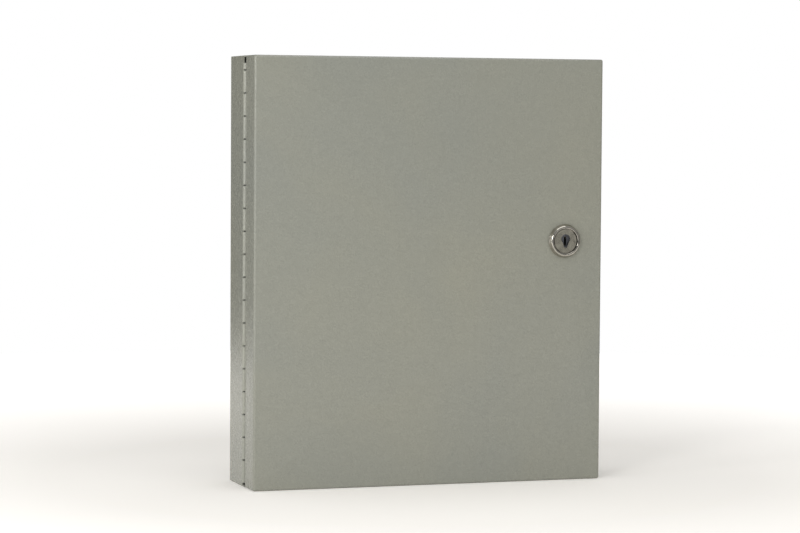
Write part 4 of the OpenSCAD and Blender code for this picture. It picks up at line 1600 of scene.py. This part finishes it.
@dataclass(frozen=True)
class BoardSurface:
    """What lies flat on the board: copper under the mask, bare pads and white outlines of the parts.

    Attributes:
        top: Distance of the board's face off the wall.
        track: Width of a track.
        copper: How far the masked copper stands up.
        line: Width of an outline.
        margin: How far an outline runs outside its part.
        pitch: Pitch of the chips' legs.
    """

    top: float = 12.8
    track: float = 0.8
    copper: float = 0.05
    line: float = 0.22
    margin: float = 0.55
    pitch: float = 2.54

    def tracks(self) -> list[Shell]:
        """Runs of copper from the terminals, buses between the chips, and wide supply runs.

        Returns:
            One strip for each run, on Z = 0, about the board's centre.
        """
        runs = []
        for index, x in enumerate(np.arange(24) * 8.9 - 102):
            drop = 60.5 - 0.9 * (index % 6)
            runs.append([(x, 65.5), (x, drop), (x + 2.2, drop - 2.2), (x + 2.2, 53.6)])
        for index, z in enumerate(np.arange(12) * 8.2 - 40):
            runs.append(
                [(-97.5, z), (-92 + 0.7 * (index % 5), z), (-90 + 0.7 * (index % 5), z + 2), (-87, z + 2)]
            )
        for index in range(7):
            x = -59 + (index - 3) * 1.35
            runs.append([(x, 22 - index), (x, -22 - index), (x - 2.5, -24.5 - index), (x - 2.5, -33)])
            x = -20 + (index - 3) * 1.25
            runs.append(
                [(-32, 16 - 1.25 * index), (x, 16 - 1.25 * index), (x + 2, 14 - 1.25 * index), (x + 2, -34)]
            )
        for index in range(8):
            z = 34.6 - 1.25 * index
            runs.append([(-30 + index, z), (18 - index, z), (21 - index, z - 3), (21 - index, -12 + index)])
            x = 76 + 1.3 * index
            runs.append([(x, -6 - index), (x, -28), (x - 3, -31), (x - 3, -60)])
        # each run is a hair thicker than the last, so that two of them never share a face where they cross
        shells = [ribbon(run, self.track, self.copper + 0.0008 * number) for number, run in enumerate(runs)]
        wide = [
            [(20, 60), (20, 34), (24, 30)], [(80, 33), (84, 29), (84, -2)], [(-40, -68), (20, -68), (26, -62)]
        ]
        return shells + [
            ribbon(run, 3.2, self.copper - 0.006 * (number + 1)) for number, run in enumerate(wide)
        ]

    def pads(self, chips: Sequence[Box]) -> Shell:
        """Soldered pads round the chips' legs, and a scatter of small through holes.

        Args:
            chips: Boxes of the chips.

        Returns:
            The pads, on Z = 0.
        """
        pad = lathe([(0.95, 0), (0.9, 0.07), (0.62, 0.3), (0.4, 0.34)], 10)
        places = []
        for chip in chips:
            long, short = max(chip.width, chip.height), min(chip.width, chip.height)
            legs = int(long // self.pitch)
            along = (np.arange(legs) - (legs - 1) / 2) * self.pitch
            across = np.full(legs, short / 2 - 0.2)
            rows = np.concatenate([np.stack([along, across], 1), np.stack([along, -across], 1)])
            if chip.upright:
                rows = rows[:, ::-1]
            places.append(rows + np.array([chip.x, chip.z]))
        places = np.concatenate(places)
        draw = np.random.default_rng(7)
        holes = draw.uniform((-92, -14), (108, 112), (90, 2))
        via = lathe([(0.5, 0), (0.5, 0.06), (0.24, 0.06), (0.24, 0.0)], 8, closed=True)
        flat = np.zeros((len(places), 1))
        shells = [pad.repeated(np.concatenate([places, flat], 1))]
        shells.append(via.repeated(np.concatenate([holes, np.zeros((len(holes), 1))], 1)))
        return joined(shells)

    def legend(self, shop: Workshop) -> Shell:
        """Outlines of the parts, a little outside each, and ruled bars beside the lamps; no lettering.

        Args:
            shop: The workshop.

        Returns:
            The outlines, on Z = 0.
        """
        nodes = (
            "field_terminals", "relays", "logic_chips", "processor", "crystal", "resistors", "diodes",
            "pin_headers",
            "switch_bases", "lead_sockets", "heat_sink",
        )
        grow, shells = self.margin, []
        for box in (box for node in nodes for box in shop.solids(node)):
            low, high = box.low[[0, 2]] - grow, box.high[[0, 2]] + grow
            shells.append(outline(low[0], low[1], high[0], high[1], self.line, 0.03))
        for node in ("capacitor_cans", "alarm_lamps", "trouble_lamps", "power_lamp", "sounder"):
            for box in shop.solids(node):
                reach = box.width / 2 + grow
                ring = [(reach, 0), (reach, 0.03), (reach - self.line, 0.03), (reach - self.line, 0)]
                shells.append(lathe(ring, 32, closed=True).moved(box.x, box.z))
        for box in shop.solids("alarm_lamps") + shop.solids("power_lamp"):
            shells.append(ribbon([(box.x - 3, box.z - 5), (box.x + 3, box.z - 5)], 1.1, 0.03))
        return joined(shells)

    def build(self, shop: Workshop) -> None:
        """Makes the tracks, the pads and the outlines.

        Args:
            shop: The workshop.
        """
        board = shop.box("main_board")
        for name, shell, finish in (
            ("board_tracks", joined(self.tracks()).moved(board.x, board.z), TRACKS),
            ("solder_pads", self.pads(shop.solids("logic_chips")), SOLDER),
            ("board_markings", self.legend(shop), LEGEND_INK),
        ):
            shop.piece(name, shell.facing(0, 0, self.top), [finish], slot="board_laminate")


@dataclass(frozen=True)
class BoardParts:
    """The parts soldered to the board, each built about its own origin and set where its CAD solid stands.

    Attributes:
        pitch: Pitch of the chips' legs.
        wire: Radius of a leg of round wire.
        stub: How far a lying part's legs stand outside its body.
    """

    pitch: float = 2.54
    wire: float = 0.3
    stub: float = 1.6

    def chip(self, box: Box) -> Shell:
        """Chip in two rows of legs: a body that is widest at its mould line, and legs bent down from it.

        Args:
            box: Its CAD solid's box.

        Returns:
            The chip.
        """
        long, wide = max(box.width, box.height), min(box.width, box.height) - 1.0
        seam = (box.depth + 0.5) / 2
        outlines = [rounded(long - step, wide - step, 0.3, 3) for step in (0.9, 0.5, 0.0, 0.0, 0.5, 0.9)]
        body = loft(stack(outlines, [0.5, 0.7, seam - 0.1, seam + 0.1, box.depth - 0.2, box.depth]))
        dot = lathe([(0.85, 0.0), (0.85, 0.03), (0.3, 0.03)], 16).moved(
            2.2 - long / 2, 0.8 - wide / 2 + 1, box.depth
        )
        bend = [
            (wide / 2 - 0.3, seam), (wide / 2 + 0.2, seam), (wide / 2 + 0.36, seam - 0.2),
            (wide / 2 + 0.36, 0.05),
        ]
        leg = ribbon(bend, 0.25, 0.9).rolled().moved(x=-0.45)
        legs = int(long // self.pitch)
        along = (np.arange(legs) - (legs - 1) / 2) * self.pitch
        row = leg.repeated(np.stack([along, 0 * along, 0 * along], 1)).wearing(1)
        dot.points[:, 2] -= 0.02
        return joined([body, dot.wearing(2), row, row.turned(Axis.Z, 180)])

    def lying(self, box: Box, waist: float, bands: Sequence[tuple[float, float, int]]) -> Shell:
        """Round part that lies on two bent legs, with painted bands.

        Its radius is the body's, less the waist's depth times a smooth step away from either end.

        Args:
            box: Its CAD solid's box.
            waist: How much thinner it is between its ends.
            bands: Start, end and finish number of each band, with places from 0 to 1 along the body.

        Returns:
            The part.
        """
        long, wide = max(box.width, box.height), min(box.width, box.height)
        radius = wide / 2
        body_l = long - 2 * (self.stub + self.wire)
        place = np.unique(
            np.concatenate([np.linspace(0, 1, 17), [edge for band in bands for edge in band[:2]]])
        )
        near = np.clip(np.minimum(place, 1 - place) / 0.22, 0, 1)
        reach = radius - waist * near**2 * (3 - 2 * near)
        reach[[0, -1]] *= 0.72
        middle = (place[:-1] + place[1:]) / 2
        worn = np.zeros(len(middle), int)
        for start, end, number in bands:
            worn[(middle > start) & (middle < end)] = number
        lift = radius + 0.4
        body = lathe(np.stack([reach, (place - 0.5) * body_l], 1), 20, finish=worn).rolled().moved(z=lift)
        end = body_l / 2 + self.stub
        route = [(end, 0, 0.02), (end, 0, lift - 0.6), (end - 0.18, 0, lift - 0.16), (end - 0.6, 0, lift)]
        wire = tube(route + [(body_l / 2 - 0.2, 0, lift)], self.wire * 0.95, 8)
        wire = wire.wearing(3)
        return joined([body, wire, wire.turned(Axis.Z, 180)])

    def can(self, box: Box) -> Shell:
        """Can in its shrunk sleeve: a bead near the foot, a stripe down one side and a bare scored top.

        Args:
            box: Its CAD solid's box.

        Returns:
            The can.
        """
        r, h, sides = box.width / 2, box.depth, 48
        profile = np.array([
            (r - 0.4, 0), (r, 0.3), (r, 0.9), (r - 0.3, 1.2), (r - 0.35, 1.7), (r, 2.2), (r, h - 0.8),
            (r - 0.3, h - 0.15), (r - 0.8, h), (r - 1.3, h - 0.02), (r - 1.4, h - 0.15), (r * 0.4, h - 0.2),
        ])
        worn = np.zeros((len(profile) - 1, sides), int)
        worn[:9, 20:28] = 1
        worn[9:] = 2
        score = ribbon([(-r * 0.6, 0), (r * 0.6, 0)], 0.35, 0.08).moved(z=h - 0.19).wearing(2)
        return joined([lathe(profile, sides, finish=worn), score, score.turned(Axis.Z, 90)])

    def relay(self, box: Box) -> Shell:
        """Relay case: round corners, a foot, a stepped lid and a moulded rim round it.

        Args:
            box: Its CAD solid's box.

        Returns:
            The case.
        """
        w, h, d = box.width, box.height, box.depth
        steps = [
            (0.4, 0), (0, 0.3), (0, 1.2), (0.35, 1.35), (0.1, 13.3), (0.5, 13.9), (1.4, 14.0), (1.5, d - 0.2)
        ]
        steps += [(1.8, d), (2.9, d), (3.1, d - 0.3)]
        outlines = [rounded(w - step, h - step, 1.3, 5) for step, _ in steps]
        return loft(stack(outlines, [height for _, height in steps]))

    def crystal(self, box: Box) -> Shell:
        """Crystal's can: long with round ends, on a rolled flange.

        Args:
            box: Its CAD solid's box.

        Returns:
            The can.
        """
        w, h, d = box.width, box.height, box.depth
        steps = [(0.1, 0), (0, 0.1), (0, 0.45), (0.5, 0.6), (0.55, d - 0.5), (0.8, d - 0.1), (1.4, d)]
        return loft(stack([rounded(w - s, h - s, (h - s) / 2, 9) for s, _ in steps], [z for _, z in steps]))

    def lamp(self, box: Box) -> Shell:
        """Lamp: a collar, a straight side and a half-round top.

        Args:
            box: Its CAD solid's box.

        Returns:
            The lamp.
        """
        r = box.width / 2 - 0.4
        foot = [(r + 0.2, 0), (r + 0.4, 0.2), (r + 0.4, 0.85), (r + 0.25, 1.0), (r, 1.02)]
        dome = arc((0, 2 * r), r, 0, 84, 10)
        return lathe(np.concatenate([foot, dome]), 32)

    def build(self, shop: Workshop) -> None:
        """Makes all the board's parts.

        Args:
            shop: The workshop.
        """
        for name, node, make, finishes, smooth in (
            ("logic_packages", "logic_chips", self.chip, [CHIP_BLACK, TIN, CAN_STRIPE], 25),
            ("relay_cases", "relays", self.relay, [RELAY_WHITE], 25),
            ("sleeved_capacitors", "capacitor_cans", self.can, [CAN_SLEEVE, CAN_STRIPE, CAN_TOP], 35),
            ("crystal_can", "crystal", self.crystal, [TIN], 35),
            ("red_lamps", "alarm_lamps", self.lamp, [LAMP_RED], 35),
            ("yellow_lamps", "trouble_lamps", self.lamp, [LAMP_YELLOW], 35),
            ("green_lamp", "power_lamp", self.lamp, [LAMP_GREEN], 35),
        ):
            shells = [box.set(make(box)) for box in shop.solids(node)]
            shop.piece(name, joined(shells), finishes, [node], smooth=smooth)
        bands = [(0.16, 0.26, 1), (0.36, 0.45, 2), (0.54, 0.63, 1), (0.78, 0.86, 4)]
        shells = [box.set(self.lying(box, 0.2, bands)) for box in shop.solids("resistors")]
        finishes = [RESISTOR_TAN, BAND_BROWN, BAND_RED, TIN, BAND_GOLD]
        shop.piece("banded_resistors", joined(shells), finishes, ["resistors"])
        shells = [box.set(self.lying(box, 0.0, [(0.74, 0.88, 1)])) for box in shop.solids("diodes")]
        shop.piece("banded_diodes", joined(shells), [CHIP_BLACK, CAN_STRIPE, TIN, TIN], ["diodes"])
        self.fuses(shop)
        self.switches(shop)
        for node, finish, edge in (
            ("main_board", BOARD_MASK, 0.12), ("board_standoffs", ZINC, 0.25), ("board_screws", ZINC, 0.15),
            ("field_terminals", TERMINAL_GREEN, 0.25), ("terminal_screws", TIN, 0.15),
            ("pin_headers", BLACK_MOULDING, 0.08), ("heat_sink", SINK_BLACK, 0.2),
            ("transistor_screws", ZINC, 0.12),
            ("fuse_clips", TIN, 0.1), ("lead_sockets", SOCKET_NYLON, 0.3),
            ("switch_bases", BLACK_MOULDING, 0.3),
        ):
            shop.eased(node, finish, edge)
        chip = shop.box("processor")
        shop.eased(
            "processor", BLACK_MOULDING, 0.2, 2, CHIP_BLACK,
            lambda c: (np.abs(c[:, ::2] - (chip.x, chip.z)) < 8.9).all(1) & (-c[:, 1] > chip.u + 1.6),
        )
        finger = block(0.6, 0.3, 1.5, 0.08, 0.1, 2)
        row = finger.repeated([(1.27 * (index - 5.5), 9.0, 1.55) for index in range(12)])
        ring = joined([row.turned(Axis.Z, 90 * side) for side in range(4)])
        shop.piece("processor_contacts", ring.facing(chip.x, chip.z, chip.u), [TIN], slot="tin_plate")
        tabs = shop.box("power_transistors")
        shop.eased(
            "power_transistors", CHIP_BLACK, 0.15, 2, TIN,
            lambda c: (-c[:, 1] > tabs.u + 15.05) | (-c[:, 1] < tabs.u + 5.9),
        )

    def fuses(self, shop: Workshop) -> None:
        """Makes the fuses: a glass tube with its wire, and two drawn caps each.

        Args:
            shop: The workshop.
        """
        tubes, wires = [], []
        for box in shop.solids("fuse_tubes"):
            r, half = box.depth / 2, box.width / 2
            wall = [
                (r - 0.05, -half), (r, -half + 0.1), (r, half - 0.1), (r - 0.05, half), (r - 0.7, half),
                (r - 0.7, -half),
            ]
            place = (box.x, -(box.u + r), box.z)
            tubes.append(lathe(wall, 32, closed=True).rolled().moved(*place))
            turn = np.linspace(0, 1, 40)
            route = np.stack([(2 * turn - 1) * half, 0.18 * np.sin(turn * 50), 0.18 * np.cos(turn * 50)], 1)
            wires.append(tube(route, 0.1, 6).moved(*place))
        shop.piece("fuse_glasses", joined(tubes), [GLASS_TUBE], ["fuse_tubes"])
        shop.piece("fuse_wires", joined(wires), [TIN], slot="tin_plate")
        caps = []
        for box in shop.solids("fuse_caps"):
            r, half = box.depth / 2, box.width / 2
            side = [(r * 0.5, -half + 0.05), (r - 0.5, -half), (r - 0.1, -half + 0.25), (r, -half + 0.7)]
            profile = np.array(side + [(a, -b) for a, b in side[::-1]])
            caps.append(lathe(profile, 32).rolled().moved(box.x, -(box.u + r), box.z))
        shop.piece("fuse_end_caps", joined(caps), [TIN], ["fuse_caps"])

    def switches(self, shop: Workshop) -> None:
        """Makes the sounder, with rings round its hole, and the buttons' dished caps.

        Args:
            shop: The workshop.
        """
        box = shop.box("sounder")
        r, h = box.width / 2, box.depth
        face = [(r - 0.3, 0), (r, 0.4), (r, h - 0.7), (r - 0.6, h)]
        for ring in (9.6, 7.4, 5.2):
            face += [(ring, h), (ring - 0.15, h - 0.3), (ring - 0.65, h - 0.3), (ring - 0.8, h)]
        face += [(1.9, h), (1.6, h - 0.3), (1.6, h - 2.5)]
        shop.piece(
            "sounder_can",
            lathe(face, 64).facing(box.x, box.z, box.u),
            [BLACK_MOULDING],
            ["sounder"],
            smooth=25,
        )
        cap = [(2.6, 0), (3.0, 0.3), (3.0, 4.1), (5.2, 4.2), (5.5, 4.5), (5.5, 7.9), (5.3, 8.1), (5.0, 8.2)]
        cap += [(4.4, 8.12), (3.2, 7.86), (1.8, 7.68), (0.4, 7.62)]
        for node, finish in (("silence", CAP_YELLOW), ("acknowledge", CAP_BLUE), ("reset", CAP_RED)):
            box = shop.box(f"{node}_button")
            shell = lathe(cap, 48).facing(box.x, box.z, box.u)
            shop.piece(f"{node}_cap", shell, [finish], [f"{node}_button"], smooth=40)


@dataclass(frozen=True)
class Transformer:
    """Mains transformer: laminated core, taped coil on its former, and the strap that holds it.

    Attributes:
        flange: Thickness of the former's flanges.
        swell: How far the tape swells out between them.
        corner: Radius of the coil's corners.
    """

    flange: float = 1.2
    swell: float = 0.9
    corner: float = 5.0

    def coil(self, box: Box, leg: Box) -> Shell:
        """The coil: flanges, and tape whose outline grows by the swell times sin(pi t) between them.

        Args:
            box: The coil's box.
            leg: The core's box, whose third is the middle leg.

        Returns:
            The coil, about the leg's axis.
        """
        d = box.depth
        share = np.linspace(0, 1, 9)
        rise = d - 2 * self.flange - 0.2
        tape = [(2.4 - 2 * self.swell * math.sin(math.pi * t), self.flange + 0.1 + t * rise) for t in share]
        steps = [(0.4, 0), (0, 0.3), (0, self.flange)] + tape + [(0, d - self.flange), (0, d - 0.3), (0.4, d)]
        outlines = [rounded(box.width - s, box.height - s, self.corner, 6) for s, _ in steps]
        hole = rounded(leg.width / 3 + 0.4, leg.height + 0.4, 0.6, 6)
        loops = stack(outlines + [hole, hole], [z for _, z in steps] + [d, 0])
        worn = [1] * 2 + [0] * 10 + [1] * 5
        return loft(loops, closed=True, finish=worn)

    def build(self, shop: Workshop) -> None:
        """Makes the coil and dresses the core and the strap.

        Args:
            shop: The workshop.
        """
        box, core = shop.box("transformer_coil"), shop.box("transformer_core")
        shell = self.coil(box, core).facing(box.x, box.z, box.u)
        shop.piece("taped_coil", shell, [COIL_TAPE, COIL_FORMER], ["transformer_coil"], smooth=40)
        shop.eased("transformer_core", CORE_PLATES, 0.15, 1)
        shop.eased("transformer_bracket", ZINC, 0.3, 2)


@dataclass(frozen=True)
class MainsInlet:
    """Mains terminal under its clear cover, with the earth stud's ring."""

    def build(self, shop: Workshop) -> None:
        """Dresses the strip, its screws, the cover and the ring.

        Args:
            shop: The workshop.
        """
        shop.eased("mains_terminal", BLACK_MOULDING, 0.3, 2)
        shop.eased("mains_screws", ZINC, 0.15, 2)
        shop.eased("mains_cover", COVER_CLEAR, 0.25, 2)
        shop.eased("earth_ring", TIN, 0.1, 2)


@dataclass(frozen=True)
class Batteries:
    """Two sealed batteries: ribbed cases, lids, tabs, push-on connectors and blank labels.

    Attributes:
        corner: Radius of a case's upright corners.
        draft: How much narrower a case is at its foot.
        label: Width and height of the label.
    """

    corner: float = 3.0
    draft: float = 0.5
    label: tuple[float, float] = (64.0, 46.0)

    def case(self, box: Box) -> Shell:
        """A case: its outline widens from the foot to a rolled rim under the lid's seam.

        Args:
            box: The case's box, with the feet under it.

        Returns:
            The case and its feet.
        """
        w, d, h = box.width, box.depth, box.height
        foot = 1.5
        steps = [
            (1.6, foot), (self.draft, foot + 0.8), (0.15, h - 4.0), (0, h - 3.6), (0, h - 1.0),
            (0.7, h - 0.6), (0.7, h),
        ]
        outlines = [rounded(w - s, d - s, self.corner, 6) for s, _ in steps]
        pads = [
            block(8, 6, foot + 0.4, 0.3, 0.6).moved(x, y)
            for x in (10 - w / 2, w / 2 - 10)
            for y in (-d * 0.03, d / 2 - 5)
        ]
        return joined([loft(stack(outlines, [z for _, z in steps])), *pads]).moved(
            box.x, float(box.low[1] + box.high[1]) / 2, float(box.low[2])
        )

    def build(self, shop: Workshop) -> None:
        """Makes the cases and labels, and dresses the rest.

        Args:
            shop: The workshop.
        """
        cases = shop.solids("battery_cases")
        shop.piece("moulded_cases", joined(map(self.case, cases)), [BATTERY_CASE], ["battery_cases"])
        plate = loft(stack([rounded(*self.label, 3, 6)] * 2, [0, 0.12]))
        ink, rows = 0.16, ((2, 30), (-3, 38), (-8, 24))
        marks = [outline(-29, -20, 29, 20, 0.5, ink), ribbon([(-29, 9), (29, 9)], 0.5, ink)]
        marks += [ribbon([(-22, z), (-22 + length, z)], 0.9, ink) for z, length in rows]
        marks += [ribbon([(-22, 14.5), (4, 14.5)], 2.2, ink)]
        plate = joined([plate, *(mark.wearing(1) for mark in marks)])
        labels = [plate.facing(box.x, box.z + 3, -float(box.low[1]) - 0.08) for box in cases]
        shop.piece("blank_labels", joined(labels), [BATTERY_PANEL, PRINT_INK], slot="battery_plastic")
        shop.eased("battery_lids", BATTERY_LID, 0.8, 3)
        shop.eased("battery_tabs", TIN, 0.12, 1)
        shop.eased("battery_connectors", SOCKET_NYLON, 0.5, 3)


Route = tuple[tuple[float, float, float], ...]


@dataclass(frozen=True)
class Lead:
    """One insulated lead.

    Attributes:
        route: Points as right, off the wall, up.
        radius: Its outside radius.
    """

    route: Route
    radius: float

    def shell(self) -> Shell:
        """The lead: a round tube along a smooth curve through its points."""
        points = smooth_route(self.route, 8) * np.array([1, -1, 1])
        return tube(points, self.radius, 14)


@dataclass(frozen=True)
class Harness:
    """The leads inside the panel, one piece for each node that they stand for.

    Attributes:
        red: Route of the red battery lead, as right, off the wall, up.
        black: The black one's.
        jumper: That of the link between the batteries.
        earth: That of the earth lead.
    """

    red: Route = (
        (24, 36.7, -59.1), (24, 36.7, -52), (21, 31, -46), (9, 24, -44), (-4, 21, -43), (-10.5, 20, -40),
        (-10.5, 20, -36),
    )
    black: Route = (
        (-134, 36.7, -59.1), (-134, 36.7, -52), (-129, 30, -46), (-110, 24, -44), (-75, 22, -44),
        (-42, 21, -44), (-24, 20.5, -43), (-17.5, 20, -40), (-17.5, 20, -36),
    )
    jumper: Route = (
        (-68, 36.7, -59.1), (-68, 36.7, -53), (-63, 36.7, -49), (-55, 36.7, -48), (-47, 36.7, -49),
        (-42, 36.7, -53), (-42, 36.7, -59.1),
    )
    earth: Route = (
        (139, 6.2, -134), (139, 6.2, -141), (135, 8, -146.5), (118, 11, -145), (100, 13, -145),
        (95, 12.9, -148.5), (95, 12.9, -152),
    )

    def build(self, shop: Workshop) -> None:
        """Makes every lead.

        Args:
            shop: The workshop.
        """
        secondary = [
            Lead(
                ((x, 26, -90.5), (x, 26, -82.5), (inner, 25, -70), (x, 21, -50), (x, 20, -43), (x, 20, -36)),
                1.1,
            )
            for x, inner in ((80, 81), (87, 86))
        ]
        primary = [
            Lead(
                ((top, 24, -133.5), (top, 24, -137.5), (x, 15, -145), (x, 12.9, -149.5), (x, 12.9, -152)), 1.0
            )
            for top, x in ((80, 73), (86, 84))
        ]
        for name, node, leads, finish in (
            ("red_battery_lead", "battery_lead_red", [Lead(self.red, 1.3)], VINYL_RED),
            ("black_battery_lead", "battery_lead_black", [Lead(self.black, 1.3)], VINYL_BLACK),
            ("battery_link", "battery_jumper", [Lead(self.jumper, 1.3)], VINYL_RED),
            ("secondary_pair", "secondary_leads", secondary, VINYL_YELLOW),
            ("primary_pair", "primary_leads", primary, VINYL_BLACK),
            ("green_earth_lead", "earth_lead", [Lead(self.earth, 1.0)], VINYL_GREEN),
        ):
            shop.piece(name, joined(lead.shell() for lead in leads), [finish], [node], smooth=60)


@dataclass(frozen=True)
class Softbox:
    """A rectangular soft light.

    Attributes:
        name: The light's name.
        place: Where it stands, in metres.
        size: Its width and height, in metres.
        watts: Its power.
        tint: Its colour.
        aim: The point that it faces, in metres.
    """

    name: str
    place: tuple[float, float, float]
    size: tuple[float, float]
    watts: float
    tint: tuple[float, float, float] = (1.0, 1.0, 1.0)
    aim: tuple[float, float, float] = (0.0, -0.04, 0.0)

    def build(self) -> None:
        """Adds the light and turns it to its aim."""
        light = bpy.data.lights.new(self.name, "AREA")
        light.shape = "RECTANGLE"
        light.size, light.size_y = self.size
        light.energy = self.watts
        light.color = self.tint
        lamp = bpy.data.objects.new(self.name, light)
        bpy.context.scene.collection.objects.link(lamp)
        lamp.visible_camera = False
        way = Vector(self.aim) - Vector(self.place)
        lamp.matrix_world = Matrix.Translation(self.place) @ way.to_track_quat("-Z", "Y").to_matrix().to_4x4()


@dataclass(frozen=True)
class Studio:
    """Pale floor, plain soft light and the camera.

    Attributes:
        camera: Where the camera stands, in metres.
        yaw: How far it is turned to the right of straight at the wall, in degrees.
        pitch: How far it looks up, in degrees.
        roll: How far it leans, in degrees.
        lens: Its focal length on a 36 mm sensor, in millimetres.
        floor: Height of the floor, in metres.
        reach: Radius of the floor, in metres.
        glow: Brightness of the floor's own light by the panel and at the rim, which keeps it white.
        fade: Distances from the panel between which it grows, in metres.
        soft: Brightness of the room as it lights matt surfaces.
        mirrored: Brightness that glossy surfaces mirror from overhead, level with the panel and under it.
        behind: Share of that brightness behind the panel.
        boxes: The soft lights.
    """

    camera: tuple[float, float, float] = (-0.72593, -2.17817, 0.12336)
    yaw: float = 18.38234
    pitch: float = -3.06451
    roll: float = 0.36608
    lens: float = 120.711
    floor: float = -0.1780
    reach: float = 1.25
    glow: tuple[float, float] = (0.14, 0.8)
    fade: tuple[float, float] = (0.35, 1.1)
    soft: float = 0.33
    mirrored: tuple[float, float, float] = (0.5, 0.3, 0.3)
    behind: float = 0.12
    boxes: tuple[Softbox, ...] = (
        Softbox("key_box", (-1.15, -1.38, 0.50), (0.45, 0.65), 9.6),
        Softbox("edge_strip", (-1.60, -0.62, 0.22), (0.12, 1.1), 5.2),
        Softbox("front_box", (0.15, -1.35, 1.45), (1.3, 0.8), 6.2),
        Softbox("top_box", (0.0, 0.1, 2.0), (1.6, 1.6), 14.6),
    )

    def point_camera(self) -> None:
        """Adds the camera, looking along (sin yaw cos pitch, cos yaw cos pitch, sin pitch)."""
        yaw, pitch, roll = (math.radians(angle) for angle in (self.yaw, self.pitch, self.roll))
        ahead = Vector((math.sin(yaw) * math.cos(pitch), math.cos(yaw) * math.cos(pitch), math.sin(pitch)))
        level = Vector((math.cos(yaw), -math.sin(yaw), 0.0))
        rise = level.cross(ahead)
        right = level * math.cos(roll) + rise * math.sin(roll)
        upward = rise * math.cos(roll) - level * math.sin(roll)
        eye = bpy.data.cameras.new("studio_camera")
        eye.sensor_width, eye.lens = 36.0, self.lens
        eye.clip_start, eye.clip_end = 0.05, 60.0
        camera = bpy.data.objects.new("studio_camera", eye)
        bpy.context.scene.collection.objects.link(camera)
        turn = Matrix((right, upward, -ahead)).transposed().to_4x4()
        camera.matrix_world = Matrix.Translation(self.camera) @ turn
        bpy.context.scene.camera = camera

    def lay_floor(self) -> None:
        """Adds the floor: a wide round white sheet, faintly mottled, that glows more away from the panel."""
        rim = circle(self.reach, 96)
        mesh = bpy.data.meshes.new("studio_floor")
        mesh.from_pydata([(x, y, self.floor) for x, y in rim], [], [tuple(range(len(rim)))])
        floor = bpy.data.objects.new("studio_floor", mesh)
        bpy.context.scene.collection.objects.link(floor)
        recipe = Recipe("floor_white")
        recipe.colour(
            recipe.ramp(recipe.noise(300, 2), [(0.3, (0.92, 0.89, 0.84)), (0.7, (0.94, 0.91, 0.86))])
        )
        away = recipe.node("ShaderNodeVectorMath", operation="LENGTH")
        recipe.link(recipe.place, away.inputs[0])
        strength = recipe.spread(away.outputs["Value"], *self.glow, *self.fade)
        recipe.link(strength, recipe.shader.inputs["Emission Strength"])
        recipe.constants(Roughness=0.95, Specular_IOR_Level=0.0, Emission_Color=(1.0, 1.0, 1.0, 1.0))
        mesh.materials.append(recipe.material)

    def light_room(self) -> None:
        """Lights the room: white to the camera, even to matt surfaces, dark behind the panel to glossy ones.

        A glossy surface mirrors a brightness that runs between three values by the height of its ray, times a
        share that falls from one to its least as the ray turns from the front to the back.
        """
        world = bpy.data.worlds.new("studio_room")
        bpy.context.scene.world = world
        world.use_nodes = True
        tree = Wiring(world.node_tree)

        def room(strength: float | bpy.types.NodeSocket) -> bpy.types.NodeSocket:
            """A white room of some brightness.

            Args:
                strength: The brightness, or an output that gives it.

            Returns:
                The room's shader.
            """
            made = tree.node("ShaderNodeBackground")
            made.inputs["Color"].default_value = (1.0, 1.0, 1.0, 1.0)
            tree.fill(made.inputs["Strength"], strength)
            return made.outputs["Background"]

        def choose(
            ray: str, other: bpy.types.NodeSocket, chosen: bpy.types.NodeSocket
        ) -> bpy.types.NodeSocket:
            """Shows the chosen room to one kind of ray.

            Args:
                ray: Kind of ray, as the light path names it.
                other: Shader that every other ray sees.
                chosen: Shader that this kind sees.

            Returns:
                The mixed shader.
            """
            made = tree.node("ShaderNodeMixShader")
            tree.link(path.outputs[ray], made.inputs["Fac"])
            tree.link(other, made.inputs[1])
            tree.link(chosen, made.inputs[2])
            return made.outputs["Shader"]

        path, axes = tree.node("ShaderNodeLightPath"), tree.node("ShaderNodeSeparateXYZ")
        tree.link(tree.node("ShaderNodeTexCoord").outputs["Generated"], axes.inputs[0])
        over, level, under = self.mirrored
        height = tree.node("ShaderNodeMath", operation="ADD")
        tree.link(tree.spread(axes.outputs["Z"], level, over, 0.0, 1.0), height.inputs[0])
        tree.link(tree.spread(axes.outputs["Z"], 0.0, under - level, 0.0, -1.0), height.inputs[1])
        turn = tree.node("ShaderNodeMath", operation="MULTIPLY")
        tree.link(height.outputs[0], turn.inputs[0])
        tree.link(tree.spread(axes.outputs["Y"], 1.0, self.behind, -0.2, 0.3), turn.inputs[1])
        shown = choose("Is Glossy Ray", room(self.soft), room(turn.outputs[0]))
        out = tree.node("ShaderNodeOutputWorld")
        tree.link(choose("Is Camera Ray", shown, room(1.0)), out.inputs["Surface"])

    def build(self) -> None:
        """Sets up the camera, the floor, the room and the lights."""
        bpy.context.scene.view_settings.view_transform = "Standard"
        self.point_camera()
        self.lay_floor()
        self.light_room()
        for box in self.boxes:
            box.build()


ASSEMBLIES = (
    FoldedBox(),
    PianoHinge(),
    Door(),
    CamLock(),
    BoardSurface(),
    BoardParts(),
    Transformer(),
    MainsInlet(),
    Batteries(),
    Harness(),
)


def main() -> None:
    """Builds the panel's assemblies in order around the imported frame."""
    logging.basicConfig(level=logging.INFO, format="%(name)s: %(message)s")
    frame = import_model()
    Studio().build()
    shop = Workshop(frame)
    for assembly in ASSEMBLIES:
        LOG.info("building %s", type(assembly).__name__)
        assembly.build(shop)


if __name__ == "__main__":
    main()
